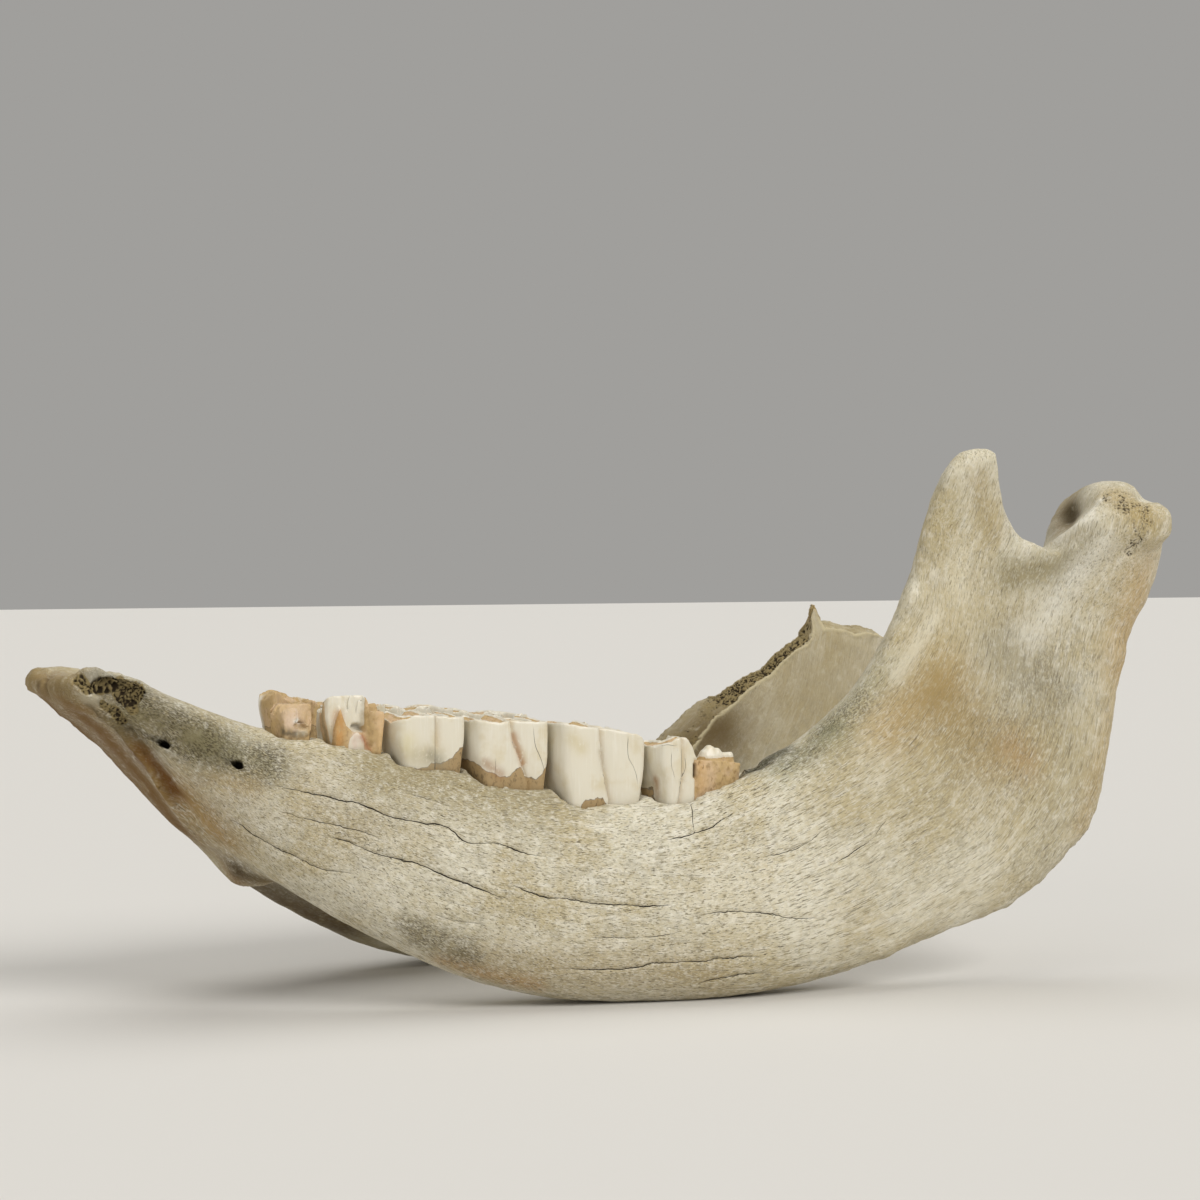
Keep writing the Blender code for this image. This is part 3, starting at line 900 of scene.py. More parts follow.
@dataclass
class Mandible:
    """The bone of the jaw, with its breaks, holes and cracks, its stained patches, and the shade and
    highlights painted into its colour.
    """

    cell: float = 2.45
    rounding: int = 3
    # What refines the skin: the reach of each round, then the length under which an edge stays
    crack_rounds: tuple[tuple[float, ...], float] = ((2.2, 1.0), 0.85)
    break_rounds: tuple[tuple[float, ...], float] = ((2.8, 2.8, 2.4), 0.95)
    opening_rounds: tuple[tuple[float, ...], float] = ((0.0, 0.0), 0.9)
    grain: Grain = Grain()
    groove_depth: float = 0.9       # of the widest crack
    cracks: tuple[Crack, ...] = (
        Crack(((-158, 105), (-142, 101), (-127, 97), (-115, 94), (-104, 89), (-92, 86), (-80, 84),
               (-71, 77), (-59, 76), (-44, 71), (-30, 68)), 0.36),
        Crack(((-152, 93), (-137, 88), (-120, 84), (-105, 78)), 0.26),
        Crack(((-137, 83), (-124, 79), (-109, 73), (-90, 67), (-82, 63), (-68, 57), (-50, 50)), 0.36),
        Crack(((-86, 46), (-76, 43), (-63, 41)), 0.15),
        Crack(((-82, 53), (-75, 50), (-70, 49)), 0.14),
        Crack(((-170, 91), (-153, 78), (-142, 72), (-132, 67), (-117, 64)), 0.28),
        Crack(((-61, 58), (-51, 57), (-39, 52), (-29, 51), (-10, 48), (6, 47), (21, 47)), 0.38),
        Crack(((27, 42), (46, 43), (59, 42), (73, 39), (90, 38)), 0.30),
        Crack(((-35, 20), (-4, 19), (13, 21), (31, 21), (44, 22), (63, 22)), 0.34),
        Crack(((17, 75), (33, 78), (52, 86)), 0.34),
        Crack(((35, 91), (34, 87), (33, 84), (32, 78)), 0.26, wander=1.4),
        Crack(((31, 10), (46, 13), (64, 14)), 0.30),
        Crack(((95, 62), (112, 70), (126, 81)), 0.22),
        Crack(((60, 66), (78, 70), (92, 78)), 0.20),
        Crack(((-96, 99), (-84, 95), (-76, 92)), 0.18),
        Crack(((-20, 34), (8, 33), (22, 35)), 0.20),
        Crack(((254, 203), (257, 205), (260, 208)), 0.22),
        Crack(((-150, 100), (-120, 92), (-95, 84), (-60, 78)), 0.34, Side.RIGHT),
        Crack(((-120, 62), (-85, 54), (-50, 47), (-12, 44)), 0.34, Side.RIGHT),
        Crack(((-30, 72), (5, 66), (40, 66), (70, 70)), 0.30, Side.RIGHT),
        Crack(((20, 36), (55, 34), (90, 36), (120, 41)), 0.32, Side.RIGHT),
        Crack(((90, 74), (125, 84), (150, 97)), 0.26, Side.RIGHT),
    )
    swells: tuple[Swell, ...] = (
        Swell(((97, -98, 108), (118, -103, 135), (145, -106, 181)), 4.5, 2.2, 1.5),     # front of the ramus
        Swell(((90, -91, 113), (108, -97, 139), (133, -101, 177)), 6.0, -1.8),
        Swell(((222, -99, 205), (230, -108, 211), (233, -113, 215), (238, -115, 219), (243, -116, 223),
               (250, -117, 229)), 2.2, 2.2, 1.4),                           # crest to the joint
        Swell(((236, -104, 216), (243, -92, 221)), 5.0, -2.5),
        Swell(((264, -121, 229), (270, -118, 229), (274, -114, 230)), 3.2, -2.2),   # dip by the outer knob
        Swell(((251, -119, 206), (238, -113, 192)), 6.0, -1.2),
        Swell(((273, -131, 216), (271, -130, 208)), 5.0, -1.6),
        Swell(((271, -108, 190), (269, -107, 181), (263, -105, 173)), 9.0, 2.8),    # rear border
        Swell(((249, -81, 229), (248, -90, 232)), 6.0, -1.8),
        Swell(((182, -113, 233), (180, -113, 212)), 5.5, -1.2),             # hollow of the coronoid process
        Swell(((165, -113, 236), (160, -113, 214)), 4.5, 0.8),
        Swell(((-222, -32, 135), (-211, -29.5, 124), (-197, -24, 108.5), (-189, -19, 100), (-179, -13, 89.5),
               (-164, -3, 75)), 2.0, 2.4, 1.3),                             # ridge under the chin
        Swell(((-209, -34, 126), (-200, -29.5, 115), (-192, -26, 106), (-184, -22, 96), (-176, -19, 87)),
              3.2, -2.6),
        Swell(((-214, -19, 125), (-200, -13, 109), (-188, -7, 96)), 5.0, -1.2),
        Swell(((-221, -14, 130), (-208, -5, 117), (-196, 0, 104)), 14.0, -1.2),
        Swell(((-153, -10, 62),), 7.0, 1.5),                                # boss behind the chin
        Swell(((-228, -31, 152), (-223, -33, 152)), 3.4, 3.2),              # bump on the chin's rim
        Swell(((-236, -10, 150), (-230, -26, 152)), 4.0, 0.8),
        Swell(((-239, 28, 150),), 4.5, -2.0),                               # the chin's blunt tip
        Swell(((-237, 28, 143),), 4.5, 1.4),
        Swell(((-236, 20, 148),), 6.0, 0.9),                                # its two knobs
        Swell(((-229, 0, 149), (-232, -6, 144)), 5.0, 0.9),
        Swell(((-227, 24, 152), (-229, 16, 151), (-231, 10, 149), (-233, 6, 145), (-234, 2, 141)),
              2.2, -2.6, 1.8),                                              # notch between them
        Swell(((-233, 10, 149), (-236, 10, 144)), 4.5, 1.0),
        Swell(((-226, -36, 148), (-219, -34, 147)), 3.4, -3.4),             # dark hole in the chin's break
        Swell(((64, -83, 104), (74, -86, 107)), 3.2, -2.5, 1.6),            # crevice behind the last tooth
        Swell(((-157, -51, 110), (-170, -46, 116), (-186, -40, 126)), 5.0, 0.8),
    )
    sponges: tuple[Sponge, ...] = (
        Sponge((-231, -33, 149), (-229, -36, 146), 4.0, 2.2, 1.8, 0.9),
        Sponge((-225, -37, 147), (-217, -33, 146), 4.5, 2.8, 2.4),
        Sponge((-213, -34, 147), (-207, -36, 145), 5.0, 2.3, 2.2),
        Sponge((-213, -31, 143), (-207, -33, 142), 4.5, 2.1, 2.0),
        Sponge((-220, -36, 139), (-213, -34, 132), 3.2, 1.8, 1.3, 0.8),
        Sponge((-210, -31, 141), (-208, -34, 136), 3.5, 1.8, 1.3, 0.8),
        Sponge((250, -118, 230), (260, -125, 225), 7.0, 1.7, 1.2, 0.50, 0.2),
        Sponge((253, -123, 225), (259, -129, 216), 6.0, 1.5, 1.0, 0.42, 0.1),
        Sponge((258, -128, 212), (257, -122, 203), 3.2, 1.4, 0.8, 0.50, 0.0),
    )
    holes: tuple[Hole, ...] = (
        Hole((-194.0, -34, 121.0)),
        Hole((-166.0, -47.5, 112.2)),
        Hole((-194.0, 34, 121.0)),
        Hole((-166.0, 47.5, 112.2)),
    )
    # Pockets darkened with painted shade: from, to, reach
    pockets: tuple[tuple[Point, Point, float], ...] = (
        ((-226, -36.5, 148), (-219, -34, 147.5), 3.6), ((64, -83, 104), (71, -86.5, 105.5), 3.6),
    )
    # The broken top of the right ramus: x and z where it lies furthest out
    break_line: Line = (
        (76, 116), (84, 105), (96, 102.5), (112, 102.5), (122, 105), (130, 111.5), (139, 118.5), (150, 127),
        (158, 129.5), (166, 134), (177, 140.5), (188, 144.5), (195, 151), (204, 157.5), (211, 160),
        (215, 165), (217, 178), (220.5, 177), (223, 168), (228, 168.5), (238, 167), (243, 164.5),
        (252, 165.5), (262, 163), (268, 159), (276, 150),
    )
    open_stretch: tuple[float, float] = (160.0, 212.0)      # of x, where the break's pores are wide
    break_out: float = 112.0        # y at which that line is given
    break_from: float = 60.0        # y beyond which all of the bone is the right half's
    break_bevel: float = 0.38       # how much lower it is towards the tongue side
    sliver: Point = (218.5, 98, 161)    # foot of the splinter that stands on the break
    lip_colour: str = "#b9ad8c"
    stains_and_painted_light: tuple[ColourPatch, ...] = (
        ColourPatch((-150, -46, 104), (-115, -60, 88), 22, "#a79a80", 0.40),
        ColourPatch((-236, -30, 146), (-236, 28, 148), 15, "#907a48", 0.88),
        ColourPatch((-233, -16, 138), (-224, -30, 136), 6, "#85662f", 0.80),
        ColourPatch((-229, -34, 141), (-216, -37, 138), 4, "#b9b29c", 0.80),
        ColourPatch((-218, -35, 151), (-228, -34, 151), 3, "#8f8b7c", 0.85),      # grey rim over the chin's break
        # the brown strips under the chin, one on each side, their stain darkened further as painted shade
        # where the underside faces down
        ColourPatch((-226, 14, 134), (-178, 22, 88), 17, "#6e5026", 0.95),
        ColourPatch((-221, -12, 130), (-174, 2, 82), 19, "#6e5026", 0.97),
        ColourPatch((-176, -44, 106), (-160, -49, 104), 7, "#a68a55", 0.60),
        ColourPatch((-184, -26, 98), (-166, -28, 80), 13, "#9a7c48", 0.88),
        # the orange stain under the chin, darkened further as painted shade
        ColourPatch((-214, -31, 128), (-203, -29, 117), 5.0, "#5c4522", 0.92),
        ColourPatch((-204, -28, 117), (-186, -23, 99), 7.0, "#653f0e", 0.97),
        ColourPatch((-220, -32, 133), (-197, -24, 108.5), 1.4, "#8e7645", 0.60),  # ridge under the chin
        ColourPatch((-197, -24, 108.5), (-177, -12, 88), 1.6, "#8e7645", 0.60),
        # painted shade along the notch between the tip's knobs
        ColourPatch((-229, 16, 151), (-231, 10, 149), 1.6, "#4c3a22", 0.75),      # notch between the tip's knobs
        ColourPatch((-231, 10, 149), (-234, 2, 141), 1.9, "#4c3a22", 0.85),
        ColourPatch((-234.5, 13, 145.5), (-234.5, 13, 144.5), 1.4, "#2f2516", 0.85),
        ColourPatch((-227, -32, 138), (-212, -34, 128), 1.6, "#4c3a22", 0.75),
        ColourPatch((-208, -36, 136), (-178, -43, 120), 13, "#746a48", 0.93),
        ColourPatch((-180, -45, 122), (-152, -50, 111), 9, "#7a7354", 0.80),
        # painted shade on the boss behind the chin and on the undersides of both halves
        ColourPatch((-153, -10, 60), (-146, 0, 54), 11, "#7a5c2e", 0.85),
        ColourPatch((-153, -16, 64), (-136, -26, 54), 8, "#3f311d", 0.94),        # shaded underside
        ColourPatch((-124, 34, 47), (-80, 42, 26), 17, "#54432b", 0.90),
        ColourPatch((-140, -20, 50), (-90, -36, 22), 10, "#a18b5f", 0.65),
        ColourPatch((-104, -58, 108), (-36, -70, 90), 16, "#8b7d56", 0.88),
        ColourPatch((-60, -76, 22), (40, -98, 16), 13, "#917d53", 0.60),
        ColourPatch((-90, -67, 37), (-72, -71, 28), 9, "#7d7252", 0.70),
        ColourPatch((-78, -64, 23), (-38, -78, 12), 5, "#a9824a", 0.60),
        ColourPatch((45, -110, 50), (82, -112, 50), 22, "#dad3be", 0.60),
        # painted shade, greenish, on the face in front of the ramus's front ridge
        ColourPatch((78, -94, 106), (104, -98, 122), 9, "#7a7b62", 0.70),
        ColourPatch((104, -98, 122), (136, -102, 150), 9, "#878769", 0.60),
        # painted shade in the crevice behind the last tooth
        ColourPatch((66, -84, 104), (86, -86, 112), 5, "#45473a", 0.92),
        ColourPatch((130, -105, 122), (160, -106, 146), 16, "#a98c54", 0.75),
        ColourPatch((150, -106, 160), (185, -106, 175), 20, "#b3a172", 0.55),
        ColourPatch((160, -106, 132), (186, -107, 110), 20, "#917844", 0.78),
        # painted highlight along the lit edge of the ramus's front border
        ColourPatch((134, -105, 146), (156, -106, 174), 5, "#ded7c2", 0.65),      # front of the ramus
        ColourPatch((160, -108, 208), (158, -109, 228), 8, "#a39263", 0.55),
        ColourPatch((176, -112, 238), (185, -110, 213), 8, "#9e8c62", 0.60),
        ColourPatch((167, -106, 188), (168, -107, 202), 9, "#dbd2b8", 0.60),
        ColourPatch((174, -112, 252), (186, -112, 250), 7, "#cfc6ab", 0.60),
        # painted shadow of the crest, a dark band under the notch
        ColourPatch((196, -108, 192), (222, -110, 195), 9, "#81754f", 0.80),
        ColourPatch((222, -110, 196), (236, -118, 210), 6, "#857a58", 0.75),
        ColourPatch((195, -105, 158), (220, -106, 136), 17, "#918b78", 0.60),
        ColourPatch((243, -119, 207), (212, -106, 163), 9, "#d8d4c6", 0.65),
        ColourPatch((200, -107, 110), (208, -107, 104), 10, "#a0763c", 0.60),
        ColourPatch((210, -110, 62), (150, -110, 40), 20, "#cdc5ae", 0.25),
        ColourPatch((232, -108, 100), (214, -108, 64), 17, "#948660", 0.50),
        ColourPatch((268, -112, 198), (262, -112, 146), 13, "#b0966a", 0.78),
        ColourPatch((258, -112, 125), (240, -112, 72), 9, "#a68a52", 0.60),
        ColourPatch((251, -118, 230), (262, -127, 219), 9, "#a8925f", 0.80),
        # painted shade in the hollow before the joint, darkest in its middle
        ColourPatch((236, -100, 216), (247, -84, 226), 11, "#85765a", 0.90),      # hollow before the joint
        ColourPatch((240, -98, 218), (245, -90, 223), 6, "#443820", 0.93),
        # painted highlight along the crest beside the hollow
        ColourPatch((227, -105, 208), (236, -116, 218), 1.8, "#ddd8c8", 0.85),    # crest beside it
        ColourPatch((236, -116, 218), (246, -114, 228), 1.8, "#ddd8c8", 0.80),
        ColourPatch((120, 92, 110), (240, 94, 140), 40, "#9c8d6a", 0.70),
        # painted shade low on the far half's inner face
        ColourPatch((100, 82, 96), (152, 86, 110), 19, "#5d4b2b", 0.88),
        ColourPatch((218, 106, 160), (219, 98, 180), 5, "#a98846", 0.85),         # splinter on the break
        ColourPatch((120, -88, 90), (220, -92, 110), 36, "#a39570", 0.45),
        ColourPatch((-60, 0, 20), (60, 0, 5), 30, "#a89a78", 0.35),
    )
    # Where dark pits crowd: from, to, reach, share
    speckles: tuple[tuple[Point, Point, float, float], ...] = (
        ((-212, -35, 137), (-182, -42, 122), 16.0, 1.0), ((-182, -42, 122), (-152, -48, 112), 13.0, 0.85),
        ((-172, -44, 95), (-100, -66, 80), 26.0, 0.22), ((-210, 35, 138), (-160, 43, 116), 18.0, 0.8),
        ((-60, -80, 60), (120, -110, 60), 40.0, 0.15), ((150, -108, 70), (210, -110, 120), 40.0, 0.25),
        ((240, -112, 70), (200, -110, 45), 26.0, 0.30), ((225, -110, 190), (170, -106, 200), 40.0, 0.12),
        ((232, -110, 150), (205, -108, 128), 26.0, 0.35), ((84, -92, 108), (120, -100, 135), 10.0, 0.60),
        ((238, -108, 200), (222, -106, 188), 12.0, 0.25), ((66, -84, 104), (84, -86, 112), 7.0, 1.0),
        ((-92, -67, 39), (-69, -71, 27), 12.0, 0.6), ((-236, -10, 142), (-232, -26, 142), 9.0, 0.45),
    )

    def build(self) -> bpy.types.Object:
        """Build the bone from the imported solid.

        Returns:
            The finished piece.
        """
        skin = Skin("mandible", self.cell, self.rounding)
        net = CrackNet(skin, self.cracks)
        skin.refine(net.distance, *self.crack_rounds)
        skin.refine(self._from_break, *self.break_rounds)
        skin.refine(self._from_openings, *self.opening_rounds)
        self._sculpt(skin, net)
        return skin.finish("jaw_bone", WeatheredBone().build(), "bone")

    def _from_break(self, points: np.ndarray) -> np.ndarray:
        """Distance of places from the broken face of the right ramus.

        Args:
            points: Places in jaw millimetres.

        Returns:
            The distance in millimetres, large on the left side.
        """
        level = points[:, 2] - self.break_bevel * (points[:, 1] - self.break_out)
        near = from_path(np.column_stack((points[:, 0], level)), self.break_line)
        return np.where(points[:, 1] > self.break_from, near, FAR)

    def _from_openings(self, points: np.ndarray) -> np.ndarray:
        """Distance of places outside the nearest spongy patch, hole or sharp ridge, below zero inside it.

        Args:
            points: Places in jaw millimetres.

        Returns:
            The distance in millimetres.
        """
        gaps = [along_line(points, patch.start, patch.end)[1] - patch.reach - 1.5 for patch in self.sponges]
        gaps += [from_path(points, (hole.mouth,)) - 3 * hole.half for hole in self.holes]
        gaps += [from_path(points, swell.path) - swell.reach - 1 for swell in self.swells if swell.crest < 2]
        return np.min(gaps, axis=0)

    def _sculpt(self, skin: Skin, net: CrackNet) -> None:
        """Move the skin's vertices and store its marks.

        Args:
            skin: The bone's skin.
            net: Its cracks.
        """
        points, facing = skin.points(), skin.facing()
        grain = self.grain.coordinates(points)
        spongy, pores, sunk = self._spongy(points, facing)
        offset, width = net.measure(points)
        groove = np.exp(-(offset / 0.6) ** 2) * np.minimum(1.0, width / 0.3)
        lip = self._lip(points, facing)
        rise = self._relief(points, grain) - sunk - self.groove_depth * groove + 0.8 * lip
        moved = points + facing * rise[:, None]
        # hollow holds the painted shade of the holes and the pockets
        hollow = self._bore(moved)
        self._splinter(moved)
        skin.shape(moved)

        outward = facing[:, 1] * np.sign(points[:, 1])
        tint = blend(points, self.stains_and_painted_light)
        tint += lip[:, None] * (np.array(linear(self.lip_colour)) - tint)
        skin.mark(Mark.GRAIN, grain * MM)
        hidden = np.maximum(0.8 * spongy, 0.85 * smooth_step(0.78, 0.98, tint[:, 3]))
        fibrous = 0.35 + 0.65 * smooth_step(-0.3, 0.3, outward)
        fibrous *= 1 - 0.35 * smooth_step(60, 140, points[:, 0])       # the upright branch is smoother
        skin.mark(Mark.FIBROUS, fibrous * (1 - hidden))
        skin.mark(Mark.CRACK_OFFSET, offset)
        skin.mark(Mark.CRACK_WIDTH, width)
        skin.mark(Mark.SPONGY, spongy)
        skin.mark(Mark.PORES, pores)
        skin.mark(Mark.PAINTED_HOLLOW_SHADE, hollow)
        skin.mark(Mark.SPECKLE, self._speckle(points))
        skin.mark(Mark.TINT, tint)

    def _lip(self, points: np.ndarray, facing: np.ndarray) -> np.ndarray:
        """Find the raised pale lip along the tongue side of the break.

        Args:
            points: Places in jaw millimetres.
            facing: Outward directions there.

        Returns:
            A share from 0 to 1.
        """
        return smooth_step(2.6, 0.8, self._from_break(points)) * smooth_step(-0.55, -0.85, facing[:, 1])

    def _relief(self, points: np.ndarray, grain: np.ndarray) -> np.ndarray:
        """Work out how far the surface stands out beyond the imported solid.

        Args:
            points: Places in jaw millimetres.
            grain: Their coordinates along and across the fibres.

        Returns:
            Height in millimetres.
        """
        rise = 0.25 * lumps(points, 9.0) + 0.12 * lumps(points, 3.6, 5.0)
        rise += 0.16 * lumps(grain / np.array((14.0, 2.8, 2.8)), 1.0, 3.0)
        from_middle = np.hypot(points[:, 0] - 150, (points[:, 2] - 130) * 1.15)
        scar = smooth_step(84, 104, from_middle) * (points[:, 0] > 110) * smooth_step(185, 160, points[:, 2])
        rise += 0.6 * scar * (lumps(points, 6.5, 9.0) + 0.5 * lumps(points, 3.2, 2.0))
        chin = smooth_step(-178, -212, points[:, 0])
        rise += 0.6 * chin * (lumps(points, 5.0, 4.0) + 0.6 * lumps(points, 2.4, 8.0))
        for swell in self.swells:
            rise += swell.height * np.exp(-(from_path(points, swell.path) / swell.reach) ** swell.crest)
        return rise

    def _spongy(self, points: np.ndarray, facing: np.ndarray) -> tuple[np.ndarray, np.ndarray, np.ndarray]:
        """Work out where the bone is broken open.

        Args:
            points: Places in jaw millimetres.
            facing: Outward directions there.

        Returns:
            How spongy the bone is, how deep a place lies in a pore, both from 0 to 1, and how far
            it is sunk in millimetres.
        """
        edge = 0.30 * lumps(points, 5.0, 11.0)
        torn = smooth_step(2.6, 1.0, self._from_break(points) + 0.6 * lumps(points, 4.0, 3.0))
        torn *= smooth_step(0.85, 0.45, np.abs(facing[:, 1]))
        first, last = self.open_stretch
        x = points[:, 0]
        wide = smooth_step(first - 12, first + 6, x) * smooth_step(last + 8, last - 4, x)
        wide = np.clip(0.25 + 0.75 * wide + 0.5 * lumps(points, 12.0, 6.0), 0.0, 1.0)
        patches = [(torn, 2.2, 1.8, wide, 0.35 + 0.65 * wide)]
        for patch in self.sponges:
            near = along_line(points, patch.start, patch.end)[1] / patch.reach
            share = smooth_step(1.0, 0.72, near + edge) * smooth_step(0.97, 0.8, facing[:, 2])
            dark, stain = np.full((2, len(points)), ((patch.dark,), (patch.stain,)))
            patches.append((share, patch.pore, patch.depth, dark, stain))
        spongy, pores, sunk = np.zeros((3, len(points)))
        for share, pore, depth, dark, stain in patches:
            chosen = np.flatnonzero(share > 0.02)
            if not len(chosen):
                continue
            coarse = cells(points[chosen], pore) * smooth_step(-0.35, 0.0, lumps(points[chosen], 4.0, 2.0))
            fine = 0.6 * cells(points[chosen], 0.55 * pore, 7.0)
            holes = share[chosen] * dark[chosen] * np.maximum(coarse, fine)
            spongy[chosen] = np.maximum(spongy[chosen], share[chosen] * stain[chosen])
            pores[chosen] = np.maximum(pores[chosen], holes)
            sunk[chosen] = np.maximum(sunk[chosen], depth * holes + 0.5 * share[chosen])
        return spongy, pores, sunk

    def _bore(self, moved: np.ndarray) -> np.ndarray:
        """Deepen the nerve holes, and work out the painted shade in them, in the grooves before them and in
        the dark pockets.

        Args:
            moved: Places of the vertices, which are changed.

        Returns:
            How dark the painted shade makes each place, from 0 to 1.
        """
        dark = np.zeros(len(moved))
        for start, end, reach in self.pockets:
            dark = np.maximum(dark, 0.9 * smooth_step(1.0, 0.3, along_line(moved, start, end)[1] / reach))
        for hole in self.holes:
            run, shift = hole.run(), moved - np.array(hole.mouth, float)
            ahead = shift @ run
            aside = shift - ahead[:, None] * run
            cosine, sine = math.cos(hole.slope), math.sin(hole.slope)
            rear = cosine * aside[:, 0] - sine * aside[:, 2]
            rest = np.hypot(sine * aside[:, 0] + cosine * aside[:, 2], aside[:, 1])
            near = np.abs(ahead) < hole.span
            radius = np.hypot(rear / hole.length, rest)
            radius[near] *= 1 + 0.25 * lumps(moved[near], 2.0)
            share, gap = along_line(moved[:, (0, 2)], *hole.groove())
            trail = near * np.sqrt(share) * np.exp(-(gap / (0.8 * hole.half)) ** 2)
            inner = near * smooth_step(hole.half, 0.7 * hole.half, radius)
            moved += (inner * hole.deep + 1.3 * trail)[:, None] * run
            # painted shade inside the hole, darker towards its rear
            deep = near * smooth_step(1.15 * hole.half, 0.6 * hole.half, radius)
            dark = np.maximum(dark, deep * (0.55 + 0.45 * smooth_step(-2.5, 0.5, rear)))
            # painted shade along the groove before the hole
            dark = np.maximum(dark, 0.62 * trail)
        return dark

    def _splinter(self, moved: np.ndarray) -> None:
        """Thin the peak of the break to a splinter, and raise a small one beside it.

        Args:
            moved: Places of the vertices, which are changed.
        """
        x, y, z = self.sliver
        high = smooth_step(z - 2, z + 6, moved[:, 2]) * (np.abs(moved[:, 0] - x) < 5)
        high *= moved[:, 1] > self.break_from
        moved[:, 1] += 0.72 * high * (y - moved[:, 1])
        moved[:, 0] += 0.4 * high * np.sin(moved[:, 1] * 1.6)
        moved[:, 2] += 1.5 * high
        beside = np.exp(-((moved[:, 0] - x - 6.5) / 1.3) ** 2 - ((moved[:, 1] - y - 8) / 3) ** 2)
        moved[:, 2] += 5.5 * beside * smooth_step(z, z + 5, moved[:, 2])

    def _speckle(self, points: np.ndarray) -> np.ndarray:
        """How thickly dark pits lie.

        Args:
            points: Places in jaw millimetres.

        Returns:
            A share from 0 to 1.
        """
        thick = np.full(len(points), 0.08)
        for start, end, reach, amount in self.speckles:
            near = along_line(points, start, end)[1]
            thick = np.maximum(thick, amount * smooth_step(1.0, 0.35, near / reach))
        return thick * np.clip(0.85 + 0.9 * lumps(points, 8.0, 1.0), 0.3, 1.0)


@dataclass(frozen=True)
class Chip:
    """A patch of a tooth's cheek wall, outlined by share along the tooth and height z.

    It lies sunk inside the whole tooth's wall, and its dark is painted shade in that recess. Tissues that it
    leaves as they are have None.
    """

    outline: Line
    sunk: float = 0.0
    dentine: float | None = None
    cement: float | None = None
    dark: float = 0.0
    rough: float = 0.0
    edge: float = 0.8


